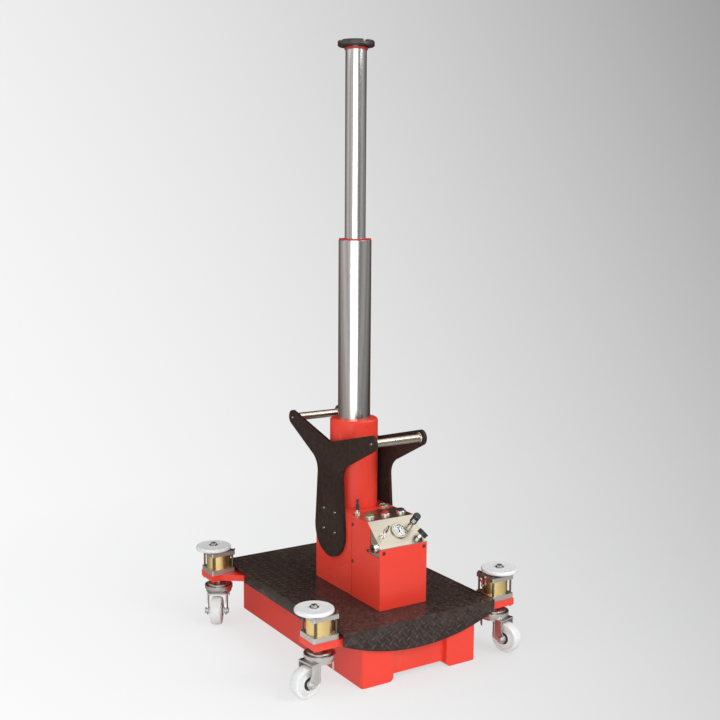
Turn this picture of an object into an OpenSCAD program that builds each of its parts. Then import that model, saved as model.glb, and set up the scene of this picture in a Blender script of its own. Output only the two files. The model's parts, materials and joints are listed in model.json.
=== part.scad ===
// Air-hydraulic pit jack: a two-stage telescopic mast on a rolling base box.
// Millimetres. X runs across the jack, Y from the control panel to the back, Z up.
// The origin lies on the floor under the middle of the tread plate.

/* [Base] */
// Width of the base box
base_w = 445; // [430:1:450]
// Depth of the base box
base_d = 835; // [826:1:840]
// Thickness of the base's floor plate
floor_t = 12; // [8:1:16]
// Thickness of the base's walls
base_wall = 6; // [4:1:8]
// Radius of the base's upright corners
base_corner_r = 10; // [6:1:16]
// Width of the recessed panel between the feet
recess_w = 210; // [160:1:240]
// Depth of the recessed panel behind the feet
recess_in = 15; // [8:1:20]
// Height of the toe slot under the recessed panel
slot_h = 18; // [14:1:24]
// Depth of the toe slot
slot_in = 80; // [50:1:100]
// Rounding of the feet towards the toe slot
foot_r = 16; // [6:1:18]

/* [Deck] */
// Width of the tread plate
deck_w = 591; // [580:1:592]
// Depth of the tread plate
deck_d = 852; // [850:1:870]
// Height of the tread plate's top
deck_z = 196.4; // [194:0.2:200]
// Thickness of the tread plate
deck_t = 4; // [3:0.5:6]
// Height of the curved skirt's lowest point above the floor
skirt_low_z = 97.3; // [80:0.1:120]
// Height of the skirts' lower edge at the corners
skirt_end_z = 157.5; // [140:0.1:160]
// Length of the straight side skirts
side_skirt_l = 512; // [400:1:530]

/* [Mast] */
// Distance of the mast's axis in front of the deck's middle
mast_ahead = 5.5; // [0:0.1:8]
// Outer diameter of the column
column_d = 165; // [160:0.5:168]
// Bore of the column
column_bore = 130; // [124:0.5:140]
// Height of the column's top, with its gland
column_z = 775; // [760:1:790]
// Height of the column's gland collar
gland_h = 43; // [36:1:60]
// Length of the gland's spigot inside the column
gland_spigot = 32; // [20:1:40]
// Thickness of the column's closed bottom
column_floor_t = 40; // [25:1:45]
// Outer diameter of the lower mast tube
tube_one_d = 111; // [108:0.5:115]
// Bore of the lower mast tube
tube_one_bore = 90; // [84:0.5:94]
// Length of the lower mast tube, from its foot to the shoulder under its gland
tube_one_l = 714; // [700:1:730]
// Height of the lower mast tube's piston
piston_one_h = 32; // [24:1:32]
// Stroke of each stage
stroke = 600; // [550:1:600]
// Height of the upper gland above the lower tube
gland_two_h = 6; // [4:0.5:10]
// Length of the upper gland's spigot
gland_two_spigot = 38; // [25:1:42]
// Diameter of the upper rod
rod_two_d = 70.5; // [66:0.5:74]
// Bore inside the upper rod
rod_two_bore = 44; // [36:0.5:50]
// Length of the upper rod
rod_two_l = 700; // [690:1:705]
// Height of the upper rod's piston
piston_two_h = 28; // [20:1:29]
// Height of the saddle's underside when the mast is fully raised
saddle_z = 2014; // [2010:1:2020]

/* [Saddle] */
// Diameter of the saddle
saddle_d = 122; // [110:1:130]
// Thickness of the saddle's disc
saddle_disc_t = 12; // [8:0.5:14]
// Height of the raised crown on the saddle
crown_h = 7; // [4:0.5:10]
// Width of the crown's ring
crown_ring_w = 20; // [12:1:26]
// Width of the four notches in the crown
crown_notch_w = 18; // [10:1:26]
// Diameter of the saddle's spigot
spigot_d = 30; // [24:1:34]
// Length of the saddle's spigot
spigot_l = 38; // [25:1:45]

/* [Housing] */
// Width of the housing behind the front cover
housing_w = 182; // [178:0.5:188]
// Distance from the deck's middle forward to the housing's front edge
housing_front = 152; // [146:1:154]
// Distance from the deck's middle back to the housing's rear face
housing_back = 94.5; // [90:0.5:110]
// Height of the housing's flat top
housing_z = 474.1; // [468:0.1:480]
// Sheet thickness of the housing
housing_t = 3; // [2:0.5:4]
// Distance from the deck's middle forward to the front cover's face
cover_front = 317.9; // [310:0.1:322]
// Distance from the deck's middle forward to the front cover's rear edge
cover_rear = 144; // [140:1:145]
// Sheet thickness of the front cover
cover_t = 2; // [1.5:0.5:3]
// Height of the front cover's front edge
cover_z = 403; // [396:1:408]
// Height of the window in the cover's sides
window_z = 372; // [366:1:377]
// Distance from the deck's middle forward to the window's rear edge
window_rear = 256; // [250:1:262]
// Width of the cover's strip in front of the window
window_strip = 6; // [4:0.5:10]

/* [Control box] */
// Sheet thickness of the control box
box_t = 2; // [1.5:0.5:2.5]
// Distance from the deck's middle forward to the top of the sloped panel
panel_back = 237.1; // [232:0.1:242]
// Distance from the deck's middle forward to the control box's rear edge
box_rear = 126; // [124:0.5:128]
// Height of the control box's lower edge
box_low_z = 352; // [346:1:354]
// Flange diameter of the panel's gauge
gauge_d = 58; // [52:1:60]
// Flange diameter of the upward gauge
top_gauge_d = 46; // [42:1:48]
// Body diameter of both gauges
gauge_body_d = 38; // [34:1:40]
// Height of the gauges' flanges
gauge_flange_h = 6; // [5:0.5:8]
// Diameter of the push buttons
button_d = 23; // [18:1:24]
// Travel of the push buttons
button_travel = 4; // [2:0.5:5]
// Diameter of the push buttons' rings
button_ring_d = 34; // [30:1:36]
// Spacing of the push buttons
button_pitch = 62; // [56:1:62]
// Length of the toggle lever above its pivot
toggle_l = 52; // [40:1:60]
// Diameter of the regulator's grip
grip_d = 25; // [20:1:27]
// Length of the regulator's grip
grip_l = 38; // [28:1:42]
// Diameter of the ribbed knob
ribbed_d = 36; // [30:1:38]
// Thickness of the ribbed knob
ribbed_t = 14; // [10:1:16]

/* [Handle brackets] */
// Thickness of the bracket plates
bracket_t = 10; // [6:1:12]
// Distance of the brackets' centre line in front of the mast's axis
bracket_ahead = 4.5; // [0:0.5:8]
// Reach of the bracket's arms to the handle bars
arm_reach = 260; // [240:1:275]
// Height of the handle bars
bar_z = 742; // [732:1:750]
// Radius of the bracket around a handle bar
arm_end_r = 26; // [22:1:30]
// Height of the notch between the bracket's arms
vee_z = 700; // [690:1:706]
// Slope of the underside of the bracket's arms, in degrees
arm_slope = 27; // [24:0.5:28]
// Half the width of the bracket's waist
waist_r = 80; // [74:1:84]
// Fillet between the waist and the arms
waist_fillet = 60; // [40:1:70]
// Radius of the bracket's round foot
foot_lobe_r = 96; // [88:1:100]
// Height of the centre of the bracket's round foot
foot_lobe_z = 395; // [385:1:400]
// Diameter of the handle bars
bar_d = 28; // [24:1:32]
// Diameter of the screw heads on the brackets
bracket_screw_d = 13; // [11:0.5:15]

/* [Corner lifts] */
// Gap between the tread plate's sides and the cylinder heads
lift_gap = 4.8; // [2:0.1:8]
// Distance of a corner lift from the middle, along the jack
lift_y = 363.6; // [361:0.1:366]
// Height of the arm plates' underside
arm_z = 156.7; // [155:0.1:160]
// Thickness of the arm plates
arm_t = 22.2; // [18:0.1:24]
// Side of the square cylinder heads
head_w = 90; // [88:0.5:90]
// Thickness of the lower cylinder head
head_low_t = 17.9; // [14:0.1:20]
// Thickness of the upper cylinder head
head_up_t = 14; // [12:0.5:18]
// Length of the brass barrel
barrel_l = 49; // [46:0.5:60]
// Outer diameter of the brass barrel
barrel_d = 86; // [84:0.5:87]
// Wall of the brass barrel
barrel_wall = 3; // [2:0.5:4]
// Distance of the tie rods from the cylinder's axis, along each side
tie_off = 37.5; // [36:0.5:38]
// Diameter of the tie rods
tie_d = 7; // [6:0.5:7]
// Travel of the castors below the rest position
lift_travel = 15; // [10:1:20]
// Diameter of the lift's piston rod
lift_rod_d = 20; // [16:1:24]
// Diameter of the white guide disc
disc_d = 125; // [115:1:130]
// Thickness of the guide disc
disc_t = 13.9; // [10:0.1:16]
// Offset of the guide disc outwards from the lift's axis
disc_out = 19.2; // [10:0.1:24]
// Gap between the upper head and the guide disc
disc_gap = 5.9; // [5.7:0.1:10]
// Outer diameter of the air hoses
hose_d = 6; // [4:0.5:8]
// Bend radius of the air tubes
hose_bend = 34; // [30:1:44]

/* [Castors] */
// Diameter of the castor wheels
wheel_d = 100; // [90:1:100]
// Width of the wheel's tread
wheel_w = 38; // [34:1:40]
// Trail of the wheel behind the swivel axis
trail = 54; // [46:1:56]
// Diameter of the swivel head
swivel_d = 100; // [92:1:102]
// Height of the castor's race plate underside
race_z = 126.3; // [126.3:0.1:130]
// Thickness of the race plate
race_t = 13; // [10:0.5:14]
// Diameter of the race plate inside the swivel head's rim
race_d = 80; // [74:1:84]
// Width of the fork over its legs
fork_w = 70; // [64:1:72]
// Thickness of the fork's legs
leg_t = 4; // [3:0.5:5]
// Diameter of the wheel's axle
axle_d = 12; // [10:0.5:14]
// Swivel direction of the front left castor, in degrees from the X axis
turn_front_left = 188; // [0:1:360]
// Swivel direction of the front right castor
turn_front_right = 285; // [0:1:360]
// Swivel direction of the rear left castor
turn_rear_left = 237; // [0:1:360]
// Swivel direction of the rear right castor
turn_rear_right = 48; // [0:1:360]

/* [Inside] */
// Width of the oil tank
tank_w = 240; // [180:1:320]
// Gap around the oil tank, to the column and to the rear toe slot
tank_gap = 15; // [10:1:40]
// Height of the oil tank
tank_h = 108; // [70:1:130]
// Diameter of the air cylinder on the pump
pump_d = 90; // [70:1:110]
// Height of the air cylinder on the pump
pump_h = 90; // [60:1:100]
// Outer diameter of the oil line
line_d = 10; // [8:1:12]

/* [Hidden] */
$fn = 64;
run_gap = 0.05;
seat_gap = 0.3;
hole_gap = 0.1;
bolt_gap = 0.4;
steel = "silver";
red = [0.86, 0.13, 0.09];
black = [0.1, 0.09, 0.09];

mast_y = -mast_ahead;
column_low_z = floor_t;
gland_z = column_z - gland_h;
tube_one_low_z = column_z - gland_h - gland_spigot - seat_gap - piston_one_h;
tube_one_top_z = tube_one_low_z + tube_one_l;
gland_two_top_z = tube_one_top_z + gland_two_h;
rod_two_low_z = saddle_z - rod_two_l;
box_w = housing_w - 2 * seat_gap;
slope_run = cover_front - panel_back;
slope_rise = housing_z - cover_z;
slope_angle = atan2(slope_rise, slope_run);
button_y = -194;
button_x = 8;
toggle_at = [-64, 46];
gauge_at = [7, 55];
regulator_at = [58, 67];
ribbed_at = [62, 15];
top_gauge_at = [64, -97];
needle_valve_at = [-70, -142];
coupler_at = [-291, 401];
regulator_tilt = 2;
ribbed_tilt = 43;
ribbed_turn = 20;
toggle_ball_d = 9;
toggle_pivot = 10;
bushing_d = 12;
button_body_d = 27;
valve_stub_d = 10;
coupler_stub_d = 16;
elbow_up = 12;
regulator_body_d = 17;
ribbed_up = 9;
elbow_d = 14;
stem_d = 6;
stem_in = 8;
stub_l = 10;
needle_valve_h = 15;
dial_up = 1;
pivot_d = 2;
lens_t = 1.2;
dial_rim = 14;
screw_d = 6;
screw_head_d = 12;
screw_head_h = 3.5;
screw_l = 8;
cover_bend_r = 5;
side_screws = [[-151, 445], [-151, 319], [-246, 381]];
front_screws = [[-79, 388], [79, 388]];
bracket_bolt_d = 8;
bracket_bolt_l = 40;
bar_bolt_l = 28;
bracket_screw_y = 36;
bracket_screw_z = [390.5, 461.5];
pump_y = -232;
pump_foot_h = 10;
pump_block = 60;
pump_line_y = pump_y + pump_block / 2 + line_d / 2 + 6;
pump_port_z = 60;
bracket_y = mast_y - bracket_ahead;
bracket_x = housing_w / 2;
lift_x = deck_w / 2 + lift_gap + head_w / 2;
tank_near_y = mast_y + column_d / 2 + tank_gap;
tank_d = base_d / 2 - slot_in - base_wall - tank_gap - tank_near_y;
head_low_z = arm_z + arm_t;
barrel_z = head_low_z + head_low_t;
head_up_z = barrel_z + barrel_l;
head_top_z = head_up_z + head_up_t;
disc_z = head_top_z + disc_gap;
disc_top_z = disc_z + disc_t;
wheel_r = wheel_d / 2;
nut_h = 5;
axle_bolt_d = 12;
disc_bolt_in = 10;
crown_z = race_z - seat_gap;
crown_t = 14;
crown_plate_t = 5;
rim_h = 5;
fork_back = swivel_d / 2 - 4;
fork_fold = 25;
kingpin_d = 16;
turns = [turn_front_left, turn_front_right, turn_rear_left, turn_rear_right];
sides = [[-1, -1], [1, -1], [-1, 1], [1, 1]];

// A rectangle about the origin with round corners
module rounded_rect(w, d, r) {
    square([w - 2 * r, d], center = true);
    square([w, d - 2 * r], center = true);
    for (x = [-1, 1], y = [-1, 1]) {
        translate([x * (w / 2 - r), y * (d / 2 - r)]) circle(r = r);
    }
}

// A hexagon bar whose width across flats is af
module hex_bar(af, h) {
    cylinder(d = af / cos(30), h = h, $fn = 6);
}

// Draws its children on the sloped panel at [across, up the slope], Z along the normal
module on_panel(at) {
    translate([0, -cover_front, cover_z])
        rotate([slope_angle, 0, 0])
            translate([at[0], at[1], 0])
                children();
}

// Draws its children leaning towards +X from a point above the panel
module leaning(at, up, tilt, turn = 0) {
    on_panel(at) translate([0, 0, up]) rotate([0, 0, turn]) rotate([0, tilt, 0]) children();
}

// Draws its children mirrored into the quarter named by a pair of signs
module at_quarter(s) {
    mirror([s[0] < 0 ? 1 : 0, 0, 0])
        mirror([0, s[1] < 0 ? 1 : 0, 0])
            children();
}

// Draws its children on the swivel axis of castor i, X along its trail
module at_castor(i) {
    translate([sides[i][0] * lift_x, sides[i][1] * lift_y, 0])
        rotate([0, 0, turns[i]])
            children();
}

// What a round fillet takes off a square corner at the origin
module corner_off(r, l) {
    rotate([90, 0, 0])
        linear_extrude(height = l, center = true)
            difference() {
                translate([-1, -1]) square([r + 1, r + 1]);
                translate([r, r]) circle(r = r);
            }
}

module base_box() {
    inner_w = base_w - 2 * base_wall;
    roof_z = slot_h + base_wall;
    color(red)
        difference() {
            linear_extrude(height = deck_z - deck_t)
                difference() {
                    rounded_rect(base_w, base_d, base_corner_r);
                    for (s = [-1, 1]) {
                        translate([0, s * base_d / 2])
                            square([recess_w, 2 * recess_in], center = true);
                    }
                }
            translate([-inner_w / 2, slot_in + base_wall - base_d / 2, floor_t])
                cube([inner_w, base_d - 2 * (slot_in + base_wall), deck_z]);
            translate([-inner_w / 2, recess_in + base_wall - base_d / 2, roof_z])
                cube([inner_w, base_d - 2 * (recess_in + base_wall), deck_z]);
            for (s = [-1, 1]) {
                translate([0, s * base_d / 2, 0])
                    cube([recess_w, 2 * slot_in, 2 * slot_h], center = true);
                for (m = [0, 1]) {
                    mirror([m, 0, 0])
                        translate([recess_w / 2, s * base_d / 2, 0])
                            corner_off(foot_r, 2 * slot_in);
                }
            }
        }
}

module corner_arms() {
    lip = 3.4;
    heel = 6.7;
    knee_x = 290;
    knee_y = 271;
    half = head_w / 2;
    color(red)
        for (s = sides) {
            at_quarter(s)
                translate([0, 0, arm_z])
                    linear_extrude(height = arm_t)
                        difference() {
                            polygon([
                                [base_w / 2, lift_y + half + lip],
                                [lift_x + half, lift_y + half + lip],
                                [lift_x + half, lift_y - half],
                                [lift_x + heel, lift_y - half],
                                [knee_x, knee_y],
                                [base_w / 2, knee_y]
                            ]);
                            translate([lift_x, lift_y]) circle(d = lift_rod_d + 2);
                            translate([lift_x, lift_y]) tie_holes();
                        }
        }
}

module tie_holes() {
    for (x = [-1, 1], y = [-1, 1]) {
        translate([x * tie_off, y * tie_off]) circle(d = tie_d + 0.5);
    }
}

// The round arc that the front and rear skirts end in
module skirt_outline() {
    rise = skirt_end_z - skirt_low_z;
    arc_r = (pow(deck_w / 2, 2) + pow(rise, 2)) / (2 * rise);
    intersection() {
        translate([-deck_w / 2, skirt_low_z]) square([deck_w, deck_z - skirt_low_z]);
        translate([0, skirt_low_z + arc_r]) circle(r = arc_r, $fn = 180);
    }
}

module deck_plate() {
    line_hole = line_d + 4;
    color(black) {
        translate([0, 0, deck_z - deck_t])
            linear_extrude(height = deck_t)
                difference() {
                    square([deck_w, deck_d], center = true);
                    translate([0, mast_y]) circle(d = column_d + 5);
                    translate([0, pump_line_y]) circle(d = line_hole);
                }
        for (s = [-1, 1]) {
            translate([0, s * (deck_d / 2 - deck_t / 2), 0])
                rotate([90, 0, 0])
                    linear_extrude(height = deck_t, center = true)
                        skirt_outline();
            translate([s * (deck_w / 2 - deck_t / 2), 0, (skirt_end_z + deck_z - deck_t) / 2])
                cube([deck_t, side_skirt_l, deck_z - deck_t - skirt_end_z], center = true);
        }
    }
}

module rear_housing() {
    depth = housing_front + housing_back;
    inner_w = housing_w - 2 * housing_t;
    color(red)
        difference() {
            translate([-housing_w / 2, -housing_front, deck_z])
                cube([housing_w, depth, housing_z - deck_z]);
            translate([-inner_w / 2, -housing_front - 1, deck_z - 1])
                cube([inner_w, depth + 1 - housing_t, housing_z - deck_z + 1 - housing_t]);
            translate([-inner_w / 2, -housing_front - 1, deck_z])
                cube([inner_w, housing_front + 1 - box_rear, housing_z]);
            translate([0, mast_y, housing_z - housing_t - 1])
                cylinder(d = column_d + 1, h = housing_t + 2);
            translate([top_gauge_at[0], top_gauge_at[1], housing_z - housing_t - 1])
                cylinder(d = gauge_body_d + 2 * hole_gap, h = housing_t + 2);
            side_screw_places() cylinder(d = screw_d + bolt_gap, h = 20, center = true);
            bracket_screw_places() cylinder(d = bracket_bolt_d + bolt_gap, h = 30, center = true);
        }
}

// Children stand on the cover's sides, Z outwards
module side_screw_places() {
    for (m = [0, 1], p = side_screws) {
        mirror([m, 0, 0])
            translate([housing_w / 2 + cover_t, p[0], p[1]])
                rotate([0, 90, 0])
                    children();
    }
}

// Children stand on the cover's front, Z outwards
module front_screw_places() {
    for (p = front_screws) {
        translate([p[0], -cover_front, p[1]])
            rotate([90, 0, 0])
                children();
    }
}

// Children stand on the brackets' outer faces, Z outwards
module bracket_screw_places() {
    for (m = [0, 1], y = [-1, 1], z = bracket_screw_z) {
        mirror([m, 0, 0])
            translate([bracket_x + bracket_t, bracket_y + y * bracket_screw_y, z])
                rotate([0, 90, 0])
                    children();
    }
}

// Children stand on the brackets' outer faces at the handle bars, Z outwards
module bar_screw_places() {
    for (m = [0, 1], y = [-1, 1]) {
        mirror([m, 0, 0])
            translate([bracket_x + bracket_t, bracket_y + y * arm_reach, bar_z])
                rotate([0, 90, 0])
                    children();
    }
}

// A button head with its shank below
module screw(head_d, head_h, shank_d, shank_l) {
    socket_af = head_d * 0.4;
    difference() {
        union() {
            cylinder(d1 = head_d, d2 = head_d * 0.72, h = head_h);
            translate([0, 0, -shank_l]) cylinder(d = shank_d, h = shank_l + 0.5);
        }
        translate([0, 0, head_h * 0.45]) hex_bar(socket_af, head_h);
    }
}

module front_cover() {
    depth = cover_front - cover_rear;
    outer_w = housing_w + 2 * cover_t;
    color(red)
        difference() {
            translate([0, 0, deck_z])
                linear_extrude(height = housing_z - deck_z)
                    difference() {
                        translate([0, -cover_front + depth / 2 + cover_bend_r])
                            rounded_rect(outer_w, depth + 2 * cover_bend_r, cover_bend_r);
                        translate([0, -cover_front + cover_t + depth / 2 + cover_bend_r])
                            rounded_rect(housing_w, depth + 2 * cover_bend_r, cover_bend_r - cover_t);
                        translate([-outer_w, -cover_rear]) square([2 * outer_w, depth]);
                    }
            rotate([90, 0, 90])
                linear_extrude(height = 2 * outer_w, center = true)
                    polygon([
                        [-cover_front - 1, cover_z - box_t - seat_gap],
                        [-cover_front + cover_t, cover_z - box_t - seat_gap],
                        [-cover_front + window_strip, cover_z - box_t - seat_gap],
                        [-cover_front + window_strip, window_z],
                        [-window_rear, window_z],
                        [-window_rear, slope_z(-window_rear)],
                        [-panel_back, housing_z],
                        [-panel_back, housing_z + 1],
                        [-cover_front - 1, housing_z + 1]
                    ]);
            side_screw_places() cylinder(d = screw_d + bolt_gap, h = 20, center = true);
            front_screw_places() cylinder(d = screw_d + bolt_gap, h = 20, center = true);
        }
}

// Height of the sloped panel's top face at a place along Y
function slope_z(y) = cover_z + (y + cover_front) * tan(slope_angle);

module control_box_side() {
    lip = cover_t + seat_gap;
    polygon([
        [-cover_front, cover_z],
        [-cover_front, cover_z - box_t],
        [-cover_front + lip, cover_z - box_t],
        [-cover_front + lip, box_low_z],
        [-box_rear, box_low_z],
        [-box_rear, housing_z],
        [-panel_back, housing_z]
    ]);
}

module control_box_hollow() {
    wall_y = -cover_front + cover_t + seat_gap + box_t;
    drop = box_t / cos(slope_angle);
    turn_y = -panel_back + box_t * tan(slope_angle / 2);
    polygon([
        [wall_y, box_low_z - 1],
        [wall_y, slope_z(wall_y) - drop],
        [turn_y, housing_z - box_t],
        [-box_rear + 1, housing_z - box_t],
        [-box_rear + 1, box_low_z - 1]
    ]);
}

// What the bends of the front cover take off the box's upright corners
module box_corners_off() {
    r = cover_bend_r - cover_t;
    for (m = [0, 1]) {
        mirror([m, 0, 0])
            translate([box_w / 2, -cover_front + cover_t + seat_gap, box_low_z - 1])
                linear_extrude(height = cover_z - box_t - box_low_z + 1)
                    difference() {
                        translate([-r, -1]) square([r + 1, r + 1]);
                        translate([-r, r]) circle(r = r);
                    }
    }
}

module control_box() {
    rear_w = housing_w - 2 * housing_t - 2 * seat_gap;
    color("silver")
        difference() {
            rotate([90, 0, 90])
                linear_extrude(height = box_w, center = true)
                    control_box_side();
            rotate([90, 0, 90])
                linear_extrude(height = rear_w - 2 * box_t, center = true)
                    control_box_hollow();
            for (m = [0, 1]) {
                mirror([m, 0, 0])
                    translate([rear_w / 2, -housing_front - seat_gap, box_low_z - 1])
                        cube([box_w, housing_front, housing_z]);
            }
            box_corners_off();
            side_screw_places() cylinder(d = screw_d + bolt_gap, h = 20, center = true);
            front_screw_places() cylinder(d = screw_d + bolt_gap, h = 20, center = true);
            on_panel(gauge_at) cylinder(d = gauge_body_d + 2 * hole_gap, h = 30, center = true);
            for (at = [toggle_at, regulator_at, ribbed_at]) {
                on_panel(at) cylinder(d = bushing_d + 2 * hole_gap, h = 30, center = true);
            }
            for (i = [-1, 0, 1]) {
                translate([button_x + i * button_pitch, button_y, housing_z])
                    cylinder(d = button_body_d + 2 * hole_gap, h = 30, center = true);
            }
            translate([needle_valve_at[0], needle_valve_at[1], housing_z])
                cylinder(d = valve_stub_d + 2 * hole_gap, h = 30, center = true);
            translate([-box_w / 2, coupler_at[0], coupler_at[1]])
                rotate([0, 90, 0])
                    cylinder(d = coupler_stub_d + 2 * hole_gap, h = 30, center = true);
        }
}

module cover_screws() {
    color(black) {
        side_screw_places() screw(screw_head_d, screw_head_h, screw_d, screw_l);
        front_screw_places() screw(screw_head_d, screw_head_h, screw_d, screw_l);
    }
}

module mast_column() {
    color(red)
        translate([0, mast_y, 0])
            difference() {
                translate([0, 0, column_low_z])
                    cylinder(d = column_d, h = gland_z - column_low_z, $fn = 128);
                translate([0, 0, column_low_z + column_floor_t])
                    cylinder(d = column_bore, h = column_z, $fn = 128);
                translate([0, -column_d / 2 - 1, pump_port_z])
                    rotate([-90, 0, 0])
                        cylinder(d = line_d - 4, h = column_d / 2);
                bracket_bolt_holes();
            }
}

// Blind holes in the column for the bracket screws
module bracket_bolt_holes() {
    translate([0, -mast_y, 0])
        bracket_screw_places()
            translate([0, 0, -bracket_bolt_l - 1])
                cylinder(d = bracket_bolt_d + bolt_gap, h = bracket_bolt_l);
}

module column_gland() {
    edge = 5;
    color(red)
        translate([0, mast_y, 0])
            difference() {
                union() {
                    translate([0, 0, gland_z])
                        cylinder(d = column_d, h = gland_h - edge, $fn = 128);
                    translate([0, 0, column_z - edge])
                        cylinder(d1 = column_d, d2 = column_d - 2 * edge, h = edge, $fn = 128);
                    translate([0, 0, gland_z - gland_spigot])
                        cylinder(d = column_bore - 2 * hole_gap, h = gland_spigot, $fn = 128);
                }
                translate([0, 0, gland_z - gland_spigot - 1])
                    cylinder(d = tube_one_d + 2 * run_gap, h = column_z, $fn = 128);
                translate([0, -column_d / 2, (gland_z + column_z) / 2])
                    rotate([90, 0, 0])
                        cylinder(d = 5, h = 16, center = true);
            }
}

module lower_mast_tube() {
    color(steel)
        translate([0, mast_y, tube_one_low_z + piston_one_h])
            difference() {
                cylinder(d = tube_one_d, h = tube_one_l - piston_one_h, $fn = 128);
                translate([0, 0, -1])
                    cylinder(d = tube_one_bore, h = tube_one_l, $fn = 128);
            }
}

module lower_piston() {
    port_d = 12;
    color("dimgray")
        translate([0, mast_y, tube_one_low_z])
            difference() {
                cylinder(d = column_bore - 2 * run_gap, h = piston_one_h, $fn = 128);
                translate([0, 0, -1]) cylinder(d = port_d, h = piston_one_h + 2);
            }
}

module upper_gland() {
    wiper_w = 2;
    color(red)
        translate([0, mast_y, 0])
            difference() {
                union() {
                    translate([0, 0, tube_one_top_z])
                        cylinder(d = tube_one_d - wiper_w, h = gland_two_h, $fn = 128);
                    translate([0, 0, tube_one_top_z - gland_two_spigot])
                        cylinder(d = tube_one_bore - 2 * hole_gap, h = gland_two_spigot, $fn = 128);
                }
                translate([0, 0, tube_one_top_z - gland_two_spigot - 1])
                    cylinder(d = rod_two_d + 2 * run_gap, h = 3 * gland_two_spigot, $fn = 128);
            }
}

module upper_mast_rod() {
    plug_l = spigot_l + 14;
    color(steel)
        translate([0, mast_y, 0])
            difference() {
                translate([0, 0, rod_two_low_z + piston_two_h])
                    cylinder(d = rod_two_d, h = rod_two_l - piston_two_h, $fn = 128);
                translate([0, 0, rod_two_low_z + piston_two_h - 1])
                    cylinder(d = rod_two_bore, h = rod_two_l - piston_two_h - plug_l + 1);
                translate([0, 0, saddle_z - spigot_l - 2])
                    cylinder(d = spigot_d + 2 * run_gap, h = spigot_l + 3);
            }
}

module upper_piston() {
    color("dimgray")
        translate([0, mast_y, rod_two_low_z])
            cylinder(d = tube_one_bore - 2 * run_gap, h = piston_two_h, $fn = 128);
}

module saddle() {
    edge = 3;
    disc_z0 = saddle_z + seat_gap;
    body_t = saddle_disc_t + crown_h - seat_gap;
    color(black)
        translate([0, mast_y, 0])
            difference() {
                union() {
                    translate([0, 0, disc_z0])
                        cylinder(d1 = saddle_d - 2 * edge, d2 = saddle_d, h = edge, $fn = 96);
                    translate([0, 0, disc_z0 + edge])
                        cylinder(d = saddle_d, h = body_t - 2 * edge, $fn = 96);
                    translate([0, 0, disc_z0 + body_t - edge])
                        cylinder(d1 = saddle_d, d2 = saddle_d - 2 * edge, h = edge, $fn = 96);
                    translate([0, 0, saddle_z - spigot_l])
                        cylinder(d = spigot_d, h = spigot_l + edge);
                }
                translate([0, 0, saddle_z + saddle_disc_t])
                    cylinder(d = saddle_d - 2 * crown_ring_w, h = 2 * crown_h);
                for (a = [0, 90]) {
                    rotate([0, 0, a])
                        translate([-saddle_d, -crown_notch_w / 2, saddle_z + saddle_disc_t])
                            cube([2 * saddle_d, crown_notch_w, 2 * crown_h]);
                }
            }
}

// One bracket's outline, drawn about its centre line
module bracket_outline() {
    end = [arm_reach, bar_z];
    reach = norm([arm_reach, bar_z - vee_z]);
    rise_angle = atan2(bar_z - vee_z, arm_reach) + asin(arm_end_r / reach);
    run = sqrt(pow(reach, 2) - pow(arm_end_r, 2));
    top_point = [run * cos(rise_angle), vee_z + run * sin(rise_angle)];
    low_point = end + arm_end_r * [sin(arm_slope), -cos(arm_slope)];
    armpit_z = low_point[1] - (low_point[0] - waist_r) * tan(arm_slope);
    fillet_z = armpit_z + waist_fillet * (tan(arm_slope) - 1 / cos(arm_slope));
    fillet_at = [waist_r + waist_fillet, fillet_z];
    translate([0, foot_lobe_z]) circle(r = foot_lobe_r, $fn = 128);
    for (m = [0, 1]) {
        mirror([m, 0]) {
            polygon([
                [0, foot_lobe_z],
                [foot_lobe_r, foot_lobe_z],
                [waist_r, fillet_z],
                [waist_r, armpit_z],
                low_point,
                end,
                top_point,
                [0, vee_z]
            ]);
            translate(end) circle(r = arm_end_r);
            difference() {
                polygon([
                    [waist_r - 1, fillet_z],
                    fillet_at,
                    fillet_at + waist_fillet * [-sin(arm_slope), cos(arm_slope)],
                    [waist_r - 1, armpit_z]
                ]);
                translate(fillet_at) circle(r = waist_fillet, $fn = 96);
            }
        }
    }
}

module bracket_plate() {
    translate([bracket_x, bracket_y, 0])
        rotate([90, 0, 90])
            linear_extrude(height = bracket_t)
                difference() {
                    bracket_outline();
                    for (y = [-1, 1], z = bracket_screw_z) {
                        translate([y * bracket_screw_y, z]) circle(d = bracket_bolt_d + bolt_gap);
                    }
                    for (y = [-1, 1]) {
                        translate([y * arm_reach, bar_z]) circle(d = bracket_bolt_d + bolt_gap);
                    }
                }
}

module right_bracket() {
    color(black) bracket_plate();
}

module left_bracket() {
    color(black) mirror([1, 0, 0]) bracket_plate();
}

module handle_bars() {
    thread_l = 22;
    color(steel)
        for (y = [-1, 1]) {
            translate([0, bracket_y + y * arm_reach, bar_z])
                rotate([0, 90, 0])
                    difference() {
                        cylinder(d = bar_d, h = 2 * bracket_x, center = true);
                        for (m = [0, 1]) {
                            mirror([0, 0, m])
                                translate([0, 0, bracket_x - thread_l])
                                    cylinder(d = bracket_bolt_d + bolt_gap, h = thread_l + 1);
                        }
                    }
        }
}

module bracket_screws() {
    head_h = 4;
    color(black) {
        bracket_screw_places() screw(bracket_screw_d, head_h, bracket_bolt_d, bracket_bolt_l);
        bar_screw_places() screw(bracket_screw_d, head_h, bracket_bolt_d, bar_bolt_l);
    }
}

module oil_tank() {
    wall = 3;
    color("dimgray")
        translate([-tank_w / 2, tank_near_y, floor_t])
            difference() {
                cube([tank_w, tank_d, tank_h]);
                translate([wall, wall, wall])
                    cube([tank_w - 2 * wall, tank_d - 2 * wall, tank_h - 2 * wall]);
            }
}

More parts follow.
